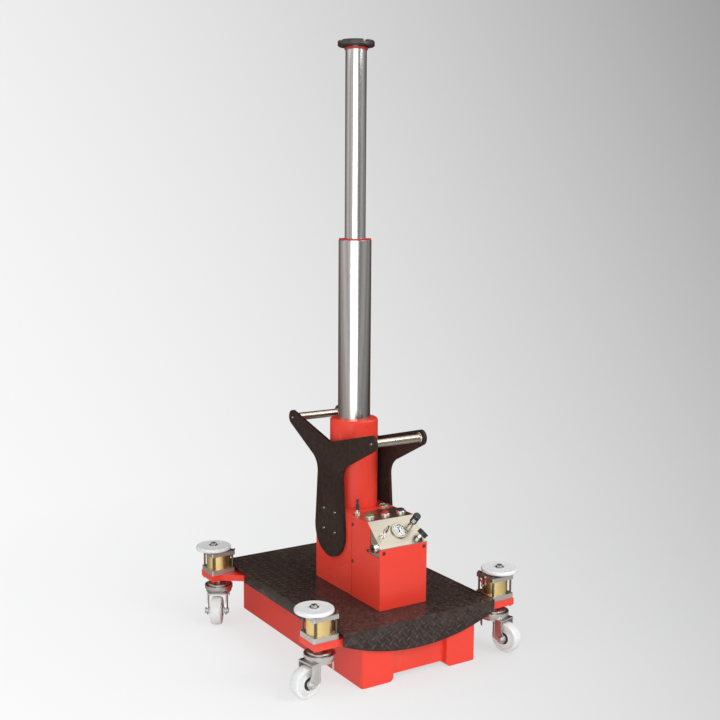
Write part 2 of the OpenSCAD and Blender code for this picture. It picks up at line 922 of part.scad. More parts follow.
module air_pump() {
    block_z = deck_z + pump_foot_h;
    bend = 20;
    port_z = block_z + pump_block / 2;
    column_face = mast_y - column_d / 2 - seat_gap;
    color("dimgray") {
        translate([-pump_block / 2 - 15, pump_y - pump_block / 2, deck_z])
            cube([pump_block + 30, pump_block, pump_foot_h]);
        translate([-pump_block / 2, pump_y - pump_block / 2, block_z])
            cube([pump_block, pump_block, pump_block]);
        translate([0, pump_y, block_z + pump_block])
            cylinder(d = pump_d, h = pump_h);
        // Outlet stub, then the steel line down through the deck to the column
        translate([0, pump_y + pump_block / 2, port_z])
            rotate([-90, 0, 0])
                cylinder(d = line_d + 6, h = pump_line_y - pump_y - pump_block / 2 + line_d / 2);
        translate([0, pump_line_y, pump_port_z + bend])
            cylinder(d = line_d, h = port_z - pump_port_z - bend);
        translate([0, pump_line_y + bend, pump_port_z + bend])
            rotate([0, 90, 0])
                rotate([0, 0, -90])
                    rotate_extrude(angle = 90)
                        translate([bend, 0]) circle(d = line_d);
        translate([0, pump_line_y + bend, pump_port_z])
            rotate([-90, 0, 0])
                cylinder(d = line_d, h = column_face - pump_line_y - bend);
    }
}

module air_coupler() {
    collar_d = 33;
    collar_l = 11;
    nose_d = 28;
    nose_l = 5;
    bore_d = 10.5;
    bore_l = 24;
    color(steel)
        translate([-box_w / 2, coupler_at[0], coupler_at[1]])
            rotate([0, -90, 0])
                difference() {
                    union() {
                        translate([0, 0, -16]) cylinder(d = coupler_stub_d, h = 17);
                        cylinder(d = collar_d, h = collar_l);
                        cylinder(d = nose_d, h = collar_l + nose_l);
                    }
                    translate([0, 0, collar_l + nose_l - bore_l]) cylinder(d = bore_d, h = bore_l + 1);
                }
}

// A gauge's case: its body hangs below, its flange stands on the face it is let into
module gauge_case(flange_d) {
    body_l = 26;
    window = flange_d - dial_rim;
    difference() {
        union() {
            translate([0, 0, -body_l]) cylinder(d = gauge_body_d, h = body_l + 1);
            cylinder(d = flange_d, h = gauge_flange_h - 1);
            translate([0, 0, gauge_flange_h - 1])
                cylinder(d1 = flange_d, d2 = flange_d - 2, h = 1);
        }
        translate([0, 0, dial_up]) cylinder(d = window, h = gauge_flange_h);
        translate([0, 0, -3]) cylinder(d = pivot_d + 2 * run_gap, h = 6);
    }
}

module gauge_cases() {
    color("gray") {
        on_panel(gauge_at) gauge_case(gauge_d);
        translate([top_gauge_at[0], top_gauge_at[1], housing_z]) gauge_case(top_gauge_d);
    }
}

module gauge_lenses() {
    up = gauge_flange_h - lens_t - 0.2;
    color([0.85, 0.9, 0.95, 0.4]) {
        on_panel(gauge_at) translate([0, 0, up])
            cylinder(d = gauge_d - dial_rim - 2 * hole_gap, h = lens_t);
        translate([top_gauge_at[0], top_gauge_at[1], housing_z + up])
            cylinder(d = top_gauge_d - dial_rim - 2 * hole_gap, h = lens_t);
    }
}

// A needle with its pivot, pointing to local +Y
module gauge_needle(tip) {
    tail = 6;
    needle_t = 0.6;
    up = dial_up + 1;
    translate([0, 0, dial_up]) cylinder(d = 4, h = 1 + needle_t);
    translate([0, 0, -2]) cylinder(d = pivot_d, h = 3 + up);
    translate([0, 0, up])
        linear_extrude(height = needle_t)
            polygon([[-1.2, -tail], [1.2, -tail], [0.35, tip], [-0.35, tip]]);
}

module panel_gauge_needle() {
    color(black)
        on_panel(gauge_at) translate([0, 0, seat_gap]) rotate([0, 0, -15]) gauge_needle(16);
}

module top_gauge_needle() {
    color(black)
        translate([top_gauge_at[0], top_gauge_at[1], housing_z + seat_gap])
            rotate([0, 0, 60])
                gauge_needle(12);
}

module button_rings() {
    ring_h = 8;
    body_l = 28;
    color(steel)
        for (i = [-1, 0, 1]) {
            translate([button_x + i * button_pitch, button_y, housing_z])
                difference() {
                    union() {
                        cylinder(d = button_ring_d, h = ring_h - 2);
                        translate([0, 0, ring_h - 2])
                            cylinder(d1 = button_ring_d, d2 = button_ring_d - 5, h = 2);
                        translate([0, 0, -body_l]) cylinder(d = button_body_d, h = body_l + 1);
                    }
                    translate([0, 0, 4 - body_l]) cylinder(d = button_d + 2 * run_gap, h = 2 * body_l);
                }
        }
}

module push_button(i) {
    proud = 15;
    edge = 3;
    foot = 14;
    translate([button_x + i * button_pitch, button_y, housing_z]) {
        translate([0, 0, -foot]) cylinder(d = button_d, h = foot + proud - edge);
        translate([0, 0, proud - edge])
            cylinder(d1 = button_d, d2 = button_d - 2 * edge, h = edge);
    }
}

module green_button() {
    color([0.35, 0.6, 0.3]) push_button(-1);
}

module red_button() {
    color(red) push_button(0);
}

module grey_button() {
    color("lightgray") push_button(1);
}

// A valve's body behind the panel with its threaded bushing and nut
module panel_valve(bushing_l) {
    block = 20;
    block_l = 26;
    translate([-block / 2, -block / 2, -block_l - box_t - 1]) cube([block, block, block_l]);
    translate([0, 0, -box_t - 2]) cylinder(d = bushing_d, h = bushing_l + box_t + 2);
    hex_bar(16, nut_h);
}

// The angled nose that carries a knob
module elbow(up, tilt, turn = 0) {
    translate([0, 0, up])
        rotate([0, 0, turn])
            rotate([0, tilt, 0])
                difference() {
                    union() {
                        sphere(d = elbow_d);
                        cylinder(d = elbow_d, h = stub_l);
                    }
                    translate([0, 0, stub_l - stem_in])
                        cylinder(d = stem_d + 2 * run_gap, h = stem_in + 1);
                }
}

module valve_bodies() {
    color(steel) {
        on_panel(toggle_at)
            difference() {
                panel_valve(toggle_pivot + 2);
                translate([0, 0, toggle_pivot]) sphere(d = toggle_ball_d + 2 * seat_gap);
            }
        difference() {
            on_panel(regulator_at) {
                panel_valve(elbow_up);
                elbow(elbow_up, regulator_tilt);
                cylinder(d = regulator_body_d, h = elbow_up + 6);
            }
            leaning(regulator_at, elbow_up, regulator_tilt)
                translate([0, 0, stub_l - stem_in])
                    cylinder(d = stem_d + 2 * run_gap, h = stem_in + 1);
        }
        on_panel(ribbed_at) {
            panel_valve(ribbed_up);
            elbow(ribbed_up, ribbed_tilt, ribbed_turn);
        }
        translate([needle_valve_at[0], needle_valve_at[1], housing_z])
            difference() {
                union() {
                    translate([0, 0, -20]) cylinder(d = valve_stub_d, h = 21);
                    hex_bar(16, 8);
                    cylinder(d = 11, h = needle_valve_h);
                }
                translate([0, 0, needle_valve_h - stem_in])
                    cylinder(d = stem_d + 2 * run_gap, h = stem_in + 1);
            }
    }
}

module toggle_lever() {
    wide_d = 14;
    tip_d = 6;
    color(steel)
        on_panel(toggle_at)
            translate([0, 0, toggle_pivot]) {
                sphere(d = toggle_ball_d);
                cylinder(d = 4.5, h = 10);
                translate([0, 0, 9]) cylinder(d1 = 4.5, d2 = wide_d, h = 12);
                translate([0, 0, 21]) cylinder(d1 = wide_d, d2 = tip_d, h = toggle_l - 21);
            }
}

module regulator_grip() {
    edge = 2;
    color(black)
        leaning(regulator_at, elbow_up, regulator_tilt)
            translate([0, 0, stub_l + seat_gap]) {
                translate([0, 0, -stem_in + 1]) cylinder(d = stem_d, h = stem_in);
                cylinder(d = grip_d, h = grip_l - edge);
                translate([0, 0, grip_l - edge])
                    cylinder(d1 = grip_d, d2 = grip_d - 2 * edge, h = edge);
            }
}

module ribbed_knob() {
    groove = 2.4;
    groove_in = 1.2;
    color(black)
        leaning(ribbed_at, ribbed_up, ribbed_tilt, ribbed_turn)
            translate([0, 0, stub_l + seat_gap]) {
                translate([0, 0, -stem_in + 1]) cylinder(d = stem_d, h = stem_in);
                difference() {
                    cylinder(d = ribbed_d, h = ribbed_t);
                    for (up = [ribbed_t * 0.32, ribbed_t * 0.68]) {
                        translate([0, 0, up - groove / 2])
                            difference() {
                                cylinder(d = ribbed_d + 2, h = groove);
                                translate([0, 0, -1])
                                    cylinder(d = ribbed_d - 2 * groove_in, h = groove + 2);
                            }
                    }
                }
            }
}

module needle_valve_grip() {
    grip = 12;
    color(black)
        translate([needle_valve_at[0], needle_valve_at[1], housing_z + needle_valve_h + seat_gap]) {
            translate([0, 0, -stem_in + 1]) cylinder(d = stem_d, h = stem_in);
            cylinder(d = grip, h = 20);
            translate([0, 0, 19]) cylinder(d = 7, h = 10);
            translate([0, 0, 32]) sphere(d = 11);
        }
}

module cylinder_heads() {
    edge = 4;
    color("lightgray")
        for (s = sides) {
            at_quarter(s)
                translate([lift_x, lift_y, 0]) {
                    translate([0, 0, head_low_z])
                        linear_extrude(height = head_low_t)
                            difference() {
                                rounded_rect(head_w, head_w, edge);
                                circle(d = lift_rod_d + 2 * run_gap);
                                tie_holes();
                            }
                    difference() {
                        translate([0, 0, head_up_z])
                            linear_extrude(height = head_up_t)
                                difference() {
                                    rounded_rect(head_w, head_w, edge);
                                    tie_holes();
                                }
                        translate([disc_out, 0, head_top_z - disc_bolt_in])
                            cylinder(d = axle_bolt_d + 2 * hole_gap, h = disc_bolt_in + 1);
                    }
                }
        }
}

module brass_barrels() {
    color("goldenrod")
        for (s = sides) {
            translate([s[0] * lift_x, s[1] * lift_y, barrel_z])
                difference() {
                    cylinder(d = barrel_d, h = barrel_l, $fn = 96);
                    translate([0, 0, -1])
                        cylinder(d = barrel_d - 2 * barrel_wall, h = barrel_l + 2, $fn = 96);
                }
        }
}

module tie_rods() {
    rod_l = head_top_z + nut_h - (arm_z - nut_h);
    color(steel)
        for (s = sides) {
            for (x = [-1, 1], y = [-1, 1]) {
                translate([s[0] * lift_x + x * tie_off, s[1] * lift_y + y * tie_off, arm_z - nut_h]) {
                    cylinder(d = tie_d, h = rod_l);
                    hex_bar(11, nut_h);
                    translate([0, 0, rod_l - nut_h]) hex_bar(11, nut_h);
                }
            }
        }
}

// An elbow pipe out of each upper head, and its tube bent inward to a grommet on the deck
module air_hoses() {
    pipe_d = 8;
    pipe_out = 8;
    pipe_bend = 6;
    pipe_over = 1.5;
    grommet_d = 13;
    grommet_h = 6;
    port_z = head_up_z + head_up_t / 2;
    face_x = lift_x - head_w / 2;
    drop_x = face_x - pipe_out;
    tube_z = port_z - 27;
    turn = asin((tube_z - deck_z - grommet_h / 2) / hose_bend);
    foot_x = drop_x - hose_bend * (1 - cos(turn));
    color(red)
        for (s = sides) {
            at_quarter(s)
                translate([0, lift_y, 0]) {
                    translate([drop_x + pipe_bend, 0, port_z])
                        rotate([0, 90, 0])
                            cylinder(d = pipe_d, h = pipe_out - pipe_bend);
                    translate([drop_x + pipe_bend, 0, port_z - pipe_bend])
                        rotate([90, 0, 0])
                            rotate([0, 0, 90])
                                rotate_extrude(angle = 90)
                                    translate([pipe_bend, 0]) circle(d = pipe_d);
                    translate([drop_x, 0, tube_z - pipe_over])
                        cylinder(d = pipe_d, h = port_z - pipe_bend - tube_z + pipe_over);
                    translate([drop_x - hose_bend, 0, tube_z])
                        rotate([90, 0, 0])
                            rotate([0, 0, -turn])
                                rotate_extrude(angle = turn)
                                    translate([hose_bend, 0]) circle(d = hose_d);
                    translate([foot_x, 0, deck_z]) cylinder(d = grommet_d, h = grommet_h);
                }
        }
}

module disc_bolts() {
    collar_d = 28;
    washer_d = 30;
    washer_t = 2;
    color("dimgray")
        for (s = sides) {
            at_quarter(s)
                translate([lift_x + disc_out, lift_y, 0]) {
                    translate([0, 0, head_top_z - disc_bolt_in])
                        cylinder(d = axle_bolt_d, h = disc_bolt_in + disc_gap + disc_t + seat_gap + 8);
                    translate([0, 0, head_top_z])
                        cylinder(d = collar_d, h = disc_gap - seat_gap);
                    translate([0, 0, disc_top_z + seat_gap]) {
                        cylinder(d = washer_d, h = washer_t);
                        translate([0, 0, washer_t]) hex_bar(18, nut_h + 1);
                    }
                }
        }
}

module guide_disc(i) {
    round_r = 3.5;
    rim = disc_d / 2;
    color("white")
        at_quarter(sides[i])
            translate([lift_x + disc_out, lift_y, disc_z])
                rotate_extrude($fn = 128) {
                    translate([axle_bolt_d / 2 + run_gap, 0])
                        square([rim - round_r - axle_bolt_d / 2 - run_gap, disc_t]);
                    translate([rim - 2 * round_r, round_r])
                        square([2 * round_r, disc_t - 2 * round_r]);
                    for (z = [round_r, disc_t - round_r]) {
                        translate([rim - round_r, z]) circle(r = round_r);
                    }
                }
}

module lift_rod(i) {
    piston_t = 14;
    top_gap = 2.5;
    piston_z = head_up_z - top_gap - piston_t;
    pin_low_z = crown_z - crown_t - crown_plate_t - seat_gap - nut_h;
    color("gray")
        translate([sides[i][0] * lift_x, sides[i][1] * lift_y, 0]) {
            translate([0, 0, piston_z])
                cylinder(d = barrel_d - 2 * barrel_wall - 2 * run_gap, h = piston_t, $fn = 96);
            translate([0, 0, race_z + race_t - 1])
                cylinder(d = lift_rod_d, h = piston_z - race_z - race_t + 2);
            translate([0, 0, race_z])
                cylinder(d = race_d, h = race_t - 3, $fn = 96);
            translate([0, 0, race_z + race_t - 3])
                cylinder(d1 = race_d, d2 = race_d - 8, h = 3, $fn = 96);
            translate([0, 0, pin_low_z])
                cylinder(d = kingpin_d, h = race_z - pin_low_z + 1);
            translate([0, 0, pin_low_z]) hex_bar(24, nut_h);
        }
}

// One fork leg seen from the side: X along the trail, Y up
module fork_leg() {
    front = trail + 1;
    hub_r = 15;
    top_z = crown_z - crown_t;
    polygon([
        [-fork_back, top_z],
        [-fork_back, top_z - 22],
        [trail - hub_r * 0.78, wheel_r - hub_r * 0.63],
        [trail, wheel_r],
        [trail + hub_r, wheel_r],
        [front, wheel_r + 32],
        [front, top_z]
    ]);
    translate([trail, wheel_r]) circle(r = hub_r);
}

// The fork seen from above: a round bell behind the kingpin that folds in to two straight legs
module fork_plan(inset) {
    half = fork_w / 2 - inset;
    fold_x = trail - fork_fold - (sqrt(2) - 1) * inset;
    reach = 2 * fork_back;
    intersection() {
        circle(r = fork_back - inset, $fn = 96);
        polygon([
            [fold_x, half],
            [fold_x, -half],
            [fold_x - reach, -half - reach],
            [fold_x - reach, half + reach]
        ]);
    }
    translate([fold_x - 1, -half]) square([2 * trail, 2 * half]);
}

module castor_fork(i) {
    under_z = crown_z - crown_t;
    color("silver")
        at_castor(i)
            difference() {
                union() {
                    translate([0, 0, crown_z - 6])
                        cylinder(d = swivel_d, h = 6 + rim_h, $fn = 96);
                    translate([0, 0, under_z])
                        cylinder(d1 = 2 * fork_back, d2 = swivel_d, h = crown_t - 6, $fn = 96);
                    translate([0, 0, under_z - crown_plate_t])
                        linear_extrude(height = crown_plate_t)
                            intersection() {
                                fork_plan(0);
                                translate([-fork_back - 1, -fork_w])
                                    square([trail + fork_back + 2, 2 * fork_w]);
                            }
                    intersection() {
                        linear_extrude(height = under_z)
                            difference() {
                                fork_plan(0);
                                fork_plan(leg_t);
                            }
                        rotate([90, 0, 0])
                            linear_extrude(height = fork_w + 2, center = true)
                                fork_leg();
                    }
                }
                translate([0, 0, crown_z])
                    cylinder(d = race_d + 6, h = rim_h + 1, $fn = 96);
                translate([0, 0, under_z - crown_plate_t - 1])
                    cylinder(d = kingpin_d + 2 * run_gap, h = crown_t + crown_plate_t + 2);
                translate([trail, 0, wheel_r])
                    rotate([90, 0, 0])
                        cylinder(d = axle_d + 2 * run_gap, h = fork_w + 2, center = true);
            }
}

module castor_axle(i) {
    head_h = 7;
    color("gray")
        at_castor(i)
            translate([trail, 0, wheel_r])
                rotate([90, 0, 0]) {
                    cylinder(d = axle_d, h = fork_w + 2 * head_h + 2, center = true);
                    for (m = [0, 1]) {
                        mirror([0, 0, m])
                            translate([0, 0, fork_w / 2])
                                hex_bar(18, head_h);
                    }
                }
}

// Half a wheel's section: X is the radius, Y runs along the axle
module wheel_section() {
    half = wheel_w / 2;
    edge = 5;
    hub_half = fork_w / 2 - leg_t - seat_gap;
    cap_r = 21;
    cap_half = half + 1.5;
    bore_r = axle_d / 2 + run_gap;
    polygon([
        [bore_r, -hub_half],
        [11, -hub_half],
        [11, -cap_half],
        [cap_r, -cap_half],
        [cap_r, -half + 3],
        [wheel_r - 9, -half + 3],
        [wheel_r - 7, -half],
        [wheel_r - edge, -half],
        [wheel_r - edge, half],
        [wheel_r - 7, half],
        [wheel_r - 9, half - 3],
        [cap_r, half - 3],
        [cap_r, cap_half],
        [11, cap_half],
        [11, hub_half],
        [bore_r, hub_half]
    ]);
    translate([wheel_r - edge - 1, edge - half]) square([edge + 1, wheel_w - 2 * edge]);
    for (s = [-1, 1]) {
        translate([wheel_r - edge, s * (half - edge)]) circle(r = edge);
    }
}

module castor_wheel(i) {
    color("white")
        at_castor(i)
            translate([trail, 0, wheel_r])
                rotate([90, 0, 0])
                    rotate_extrude($fn = 96)
                        wheel_section();
}

base_box();
corner_arms();
deck_plate();
rear_housing();
front_cover();
control_box();
cover_screws();
mast_column();
column_gland();
left_bracket();
right_bracket();
handle_bars();
bracket_screws();
oil_tank();
air_pump();
air_coupler();
gauge_cases();
gauge_lenses();
button_rings();
valve_bodies();
cylinder_heads();
brass_barrels();
tie_rods();
air_hoses();
disc_bolts();
lower_mast_tube();
lower_piston();
upper_gland();
upper_mast_rod();
upper_piston();
saddle();
green_button();
red_button();
grey_button();
toggle_lever();
regulator_grip();
ribbed_knob();
needle_valve_grip();
panel_gauge_needle();
top_gauge_needle();
lift_rod(0);  // lift_rod_front_left
lift_rod(1);  // lift_rod_front_right
lift_rod(2);  // lift_rod_rear_left
lift_rod(3);  // lift_rod_rear_right
castor_fork(0);  // castor_fork_front_left
castor_fork(1);  // castor_fork_front_right
castor_fork(2);  // castor_fork_rear_left
castor_fork(3);  // castor_fork_rear_right
castor_axle(0);  // castor_axle_front_left
castor_axle(1);  // castor_axle_front_right
castor_axle(2);  // castor_axle_rear_left
castor_axle(3);  // castor_axle_rear_right
castor_wheel(0);  // castor_wheel_front_left
castor_wheel(1);  // castor_wheel_front_right
castor_wheel(2);  // castor_wheel_rear_left
castor_wheel(3);  // castor_wheel_rear_right
guide_disc(0);  // guide_disc_front_left
guide_disc(1);  // guide_disc_front_right
guide_disc(2);  // guide_disc_rear_left
guide_disc(3);  // guide_disc_rear_right
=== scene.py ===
import bpy, json, math
from mathutils import Matrix, Vector

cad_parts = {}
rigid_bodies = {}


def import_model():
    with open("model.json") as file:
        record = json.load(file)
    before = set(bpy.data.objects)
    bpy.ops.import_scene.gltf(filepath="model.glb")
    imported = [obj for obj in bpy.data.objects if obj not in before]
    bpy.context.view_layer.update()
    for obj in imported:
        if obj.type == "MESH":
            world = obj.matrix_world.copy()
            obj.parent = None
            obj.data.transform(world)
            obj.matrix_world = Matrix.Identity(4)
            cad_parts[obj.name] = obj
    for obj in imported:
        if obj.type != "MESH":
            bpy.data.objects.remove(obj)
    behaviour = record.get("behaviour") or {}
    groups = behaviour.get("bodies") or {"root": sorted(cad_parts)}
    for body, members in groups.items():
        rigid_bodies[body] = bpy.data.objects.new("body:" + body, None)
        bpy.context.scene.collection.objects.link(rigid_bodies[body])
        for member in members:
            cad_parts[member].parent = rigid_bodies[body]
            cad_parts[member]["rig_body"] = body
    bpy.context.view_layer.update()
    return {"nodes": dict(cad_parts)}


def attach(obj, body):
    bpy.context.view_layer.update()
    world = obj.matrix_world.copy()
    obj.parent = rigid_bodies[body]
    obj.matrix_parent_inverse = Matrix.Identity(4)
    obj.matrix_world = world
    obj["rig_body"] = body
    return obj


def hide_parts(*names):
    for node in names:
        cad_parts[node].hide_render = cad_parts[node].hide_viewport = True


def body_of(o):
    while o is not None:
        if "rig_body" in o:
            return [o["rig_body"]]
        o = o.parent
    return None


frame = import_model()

nodes = frame["nodes"]
scene = bpy.context.scene
mm = 0.001


# Small helpers

def deselect():
    if bpy.context.mode != "OBJECT":
        bpy.ops.object.mode_set(mode="OBJECT")
    for other in scene.objects:
        other.select_set(False)


def activate(piece):
    deselect()
    piece.hide_set(False)
    piece.select_set(True)
    bpy.context.view_layer.objects.active = piece


def started(name):
    # the primitive that was just added, named
    piece = bpy.context.active_object
    piece.name = name
    piece.data.name = name
    return piece


def applyModifier(piece, kind, **values):
    activate(piece)
    modifier = piece.modifiers.new(kind.title(), kind)
    for key, value in values.items():
        setattr(modifier, key, value)
    bpy.ops.object.modifier_apply(modifier=modifier.name)


def deleteFaces(piece, test):
    # call in object mode with the piece active; test gets a face's centre
    for vertex in piece.data.vertices:
        vertex.select = False
    for edge in piece.data.edges:
        edge.select = False
    for face in piece.data.polygons:
        face.select = test(face.center)
    bpy.ops.object.mode_set(mode="EDIT")
    bpy.ops.mesh.select_mode(type="FACE")
    bpy.ops.mesh.delete(type="FACE")
    bpy.ops.object.mode_set(mode="OBJECT")


def putInPlace(piece, place):
    # bakes the place into the mesh, so the object stays at the origin
    activate(piece)
    piece.matrix_world = place @ piece.matrix_world
    bpy.ops.object.transform_apply(location=True, rotation=True, scale=True)


def faceOut(piece, gap=0.0005):
    activate(piece)
    bpy.ops.object.mode_set(mode="EDIT")
    bpy.ops.mesh.select_all(action="SELECT")
    bpy.ops.mesh.remove_doubles(threshold=gap)
    bpy.ops.mesh.normals_make_consistent(inside=False)
    bpy.ops.object.mode_set(mode="OBJECT")


def smooth(piece, angle=35, weighted=True):
    activate(piece)
    bpy.ops.object.shade_smooth_by_angle(angle=math.radians(angle))
    if weighted:
        applyModifier(piece, "WEIGHTED_NORMAL", keep_sharp=True)


def soften(piece, width):
    applyModifier(piece, "BEVEL", width=width, segments=2, limit_method="ANGLE",
                  angle_limit=math.radians(30), use_clamp_overlap=True)
    smooth(piece)


def dress(piece, material):
    piece.data.materials.clear()
    piece.data.materials.append(material)


def finished(piece, angle, look, weighted=True):
    # a piece built here gets its normals, its shading and its look
    faceOut(piece)
    smooth(piece, angle, weighted)
    dress(piece, looks[look])
    return piece


def joined(pieces, name):
    activate(pieces[0])
    for piece in pieces:
        piece.select_set(True)
    bpy.ops.object.join()
    return started(name)


def turned(name, profile, verts=48, solid=True):
    # a lathe job: one circle carried from step to step of (radius, height), in millimetres
    deselect()
    bpy.ops.mesh.primitive_circle_add(vertices=verts, radius=profile[0][0], fill_type="NOTHING",
                                      location=(0, 0, profile[0][1]))
    piece = started(name)
    bpy.ops.object.transform_apply(location=True, rotation=True, scale=True)
    bpy.ops.object.mode_set(mode="EDIT")
    bpy.ops.mesh.select_all(action="SELECT")
    if solid:
        bpy.ops.mesh.edge_face_add()
        bpy.ops.mesh.select_all(action="SELECT")
    radius, height = profile[0]
    for nextRadius, nextHeight in profile[1:]:
        move = {"value": (0, 0, nextHeight - height)}
        if solid:
            bpy.ops.mesh.extrude_region_move(TRANSFORM_OT_translate=move)
        else:
            bpy.ops.mesh.extrude_edges_move(TRANSFORM_OT_translate=move)
        factor = nextRadius / radius
        bpy.ops.transform.resize(value=(factor, factor, 1), center_override=(0, 0, nextHeight))
        radius, height = nextRadius, nextHeight
    bpy.ops.object.mode_set(mode="OBJECT")
    return piece


def softCopy(nodeName, name, material, width):
    # the CAD solid's copy, welded and with its edges broken, stands for the solid
    original = nodes[nodeName]
    body = body_of(original)
    activate(original)
    bpy.ops.object.duplicate()
    piece = started(name)
    bpy.ops.object.parent_clear(type="CLEAR_KEEP_TRANSFORM")
    bpy.ops.object.mode_set(mode="EDIT")
    bpy.ops.mesh.select_all(action="SELECT")
    bpy.ops.mesh.remove_doubles(threshold=0.00002)
    bpy.ops.mesh.dissolve_limited(angle_limit=math.radians(1.2))
    bpy.ops.mesh.normals_make_consistent(inside=False)
    bpy.ops.object.mode_set(mode="OBJECT")
    soften(piece, width * mm)
    dress(piece, material)
    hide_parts(nodeName)
    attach(piece, body if isinstance(body, str) else body[0])


def dressNode(nodeName, material):
    target = nodes[nodeName]
    for index in range(max(1, len(target.material_slots))):
        if target.material_slots:
            target.material_slots[index].material = material
        else:
            target.data.materials.append(material)


# Shader groups shared by the finishes

def newGroup(name, inputs, outputs):
    group = bpy.data.node_groups.new(name, "ShaderNodeTree")
    for label, kind, value in inputs:
        socket = group.interface.new_socket(name=label, in_out="INPUT", socket_type=kind)
        if value is not None:
            socket.default_value = value
    for label, kind in outputs:
        group.interface.new_socket(name=label, in_out="OUTPUT", socket_type=kind)
    start = group.nodes.new("NodeGroupInput")
    end = group.nodes.new("NodeGroupOutput")
    return group, start, end


def mathNode(tree, operation, first, second=0.5, clamp=False):
    node = tree.nodes.new("ShaderNodeMath")
    node.operation = operation
    node.use_clamp = clamp
    for socket, value in zip(node.inputs, (first, second)):
        if hasattr(value, "is_linked"):
            tree.links.new(value, socket)
        else:
            socket.default_value = value
    return node.outputs[0]


def rangeNode(tree, value, low, high, toLow=0.0, toHigh=1.0):
    node = tree.nodes.new("ShaderNodeMapRange")
    tree.links.new(value, node.inputs["Value"])
    for label, number in (("From Min", low), ("From Max", high), ("To Min", toLow), ("To Max", toHigh)):
        node.inputs[label].default_value = number
    return node.outputs["Result"]


def noiseNode(tree, vector, scale, detail=3.0, roughness=0.55):
    node = tree.nodes.new("ShaderNodeTexNoise")
    tree.links.new(vector, node.inputs["Vector"])
    if hasattr(scale, "is_linked"):
        tree.links.new(scale, node.inputs["Scale"])
    else:
        node.inputs["Scale"].default_value = scale
    node.inputs["Detail"].default_value = detail
    node.inputs["Roughness"].default_value = roughness
    return node.outputs["Fac"]


def buildCloudGroup():
    # broad and fine mottling of a surface, and a fine height for its grain
    group, start, end = newGroup("surfaceMottle",
        [("Broad Scale", "NodeSocketFloat", 9.0), ("Grain Scale", "NodeSocketFloat", 600.0)],
        [("Broad", "NodeSocketFloat"), ("Grain", "NodeSocketFloat")])
    place = group.nodes.new("ShaderNodeTexCoord").outputs["Object"]
    broad = noiseNode(group, place, start.outputs["Broad Scale"], 5.0)
    grain = noiseNode(group, place, start.outputs["Grain Scale"], 2.0)
    group.links.new(rangeNode(group, broad, 0.3, 0.7), end.inputs["Broad"])
    group.links.new(grain, end.inputs["Grain"])
    return group


def buildBrushGroup():
    # long fine lines left by grinding; Stretch is small along the lines
    group, start, end = newGroup("brushLines",
        [("Stretch", "NodeSocketVector", (1.0, 1.0, 1.0)), ("Scale", "NodeSocketFloat", 900.0)],
        [("Lines", "NodeSocketFloat"), ("Bands", "NodeSocketFloat")])
    place = group.nodes.new("ShaderNodeTexCoord").outputs["Object"]
    mapping = group.nodes.new("ShaderNodeVectorMath")
    mapping.operation = "MULTIPLY"
    group.links.new(place, mapping.inputs[0])
    group.links.new(start.outputs["Stretch"], mapping.inputs[1])
    lines = noiseNode(group, mapping.outputs[0], start.outputs["Scale"], 3.0, 0.7)
    bands = noiseNode(group, mapping.outputs[0], mathNode(group, "MULTIPLY", start.outputs["Scale"], 0.12), 2.0)
    group.links.new(lines, end.inputs["Lines"])
    group.links.new(rangeNode(group, bands, 0.3, 0.7), end.inputs["Bands"])
    return group


def buildWearAndGlintGroup():
    # rubbed edges and painted edge glint: lighter where the form is convex, broken up by noise
    group, start, end = newGroup("edgeWearAndGlint",
        [("Low", "NodeSocketFloat", 0.52), ("High", "NodeSocketFloat", 0.6)],
        [("WearAndGlint", "NodeSocketFloat")])
    place = group.nodes.new("ShaderNodeTexCoord").outputs["Object"]
    point = group.nodes.new("ShaderNodeNewGeometry").outputs["Pointiness"]
    wearBreakup = rangeNode(group, noiseNode(group, place, 60.0, 6.0, 0.7), 0.35, 0.65)
    edge = group.nodes.new("ShaderNodeMapRange")
    group.links.new(point, edge.inputs["Value"])
    group.links.new(start.outputs["Low"], edge.inputs["From Min"])
    group.links.new(start.outputs["High"], edge.inputs["From Max"])
    group.links.new(mathNode(group, "MULTIPLY", edge.outputs["Result"], wearBreakup, True), end.inputs["WearAndGlint"])
    return group


def buildDustGroup():
    # a thin film of dust on what faces up
    group, start, end = newGroup("settledDust",
        [("Amount", "NodeSocketFloat", 0.2)],
        [("Dust", "NodeSocketFloat")])
    place = group.nodes.new("ShaderNodeTexCoord").outputs["Object"]
    parts = group.nodes.new("ShaderNodeSeparateXYZ")
    group.links.new(group.nodes.new("ShaderNodeNewGeometry").outputs["Normal"], parts.inputs[0])
    up = rangeNode(group, parts.outputs["Z"], 0.6, 1.0)
    patch = rangeNode(group, noiseNode(group, place, 14.0, 8.0, 0.65), 0.4, 0.75)
    both = mathNode(group, "MULTIPLY", up, patch)
    group.links.new(mathNode(group, "MULTIPLY", both, start.outputs["Amount"], True), end.inputs["Dust"])
    return group


mottleGroup = buildCloudGroup()
brushGroup = buildBrushGroup()
wearAndGlintGroup = buildWearAndGlintGroup()
dustGroup = buildDustGroup()


def placeGroup(tree, group, **values):
    node = tree.nodes.new("ShaderNodeGroup")
    node.node_tree = group
    for key, value in values.items():
        node.inputs[key.replace("_", " ")].default_value = value
    return node


def mixColor(tree, factor, first, second):
    node = tree.nodes.new("ShaderNodeMix")
    node.data_type = "RGBA"
    tree.links.new(factor, node.inputs[0])
    for socket, value in ((node.inputs[6], first), (node.inputs[7], second)):
        if hasattr(value, "is_linked"):
            tree.links.new(value, socket)
        else:
            socket.default_value = (*value, 1.0)
    return node.outputs[2]


dustTone = (0.42, 0.38, 0.34)


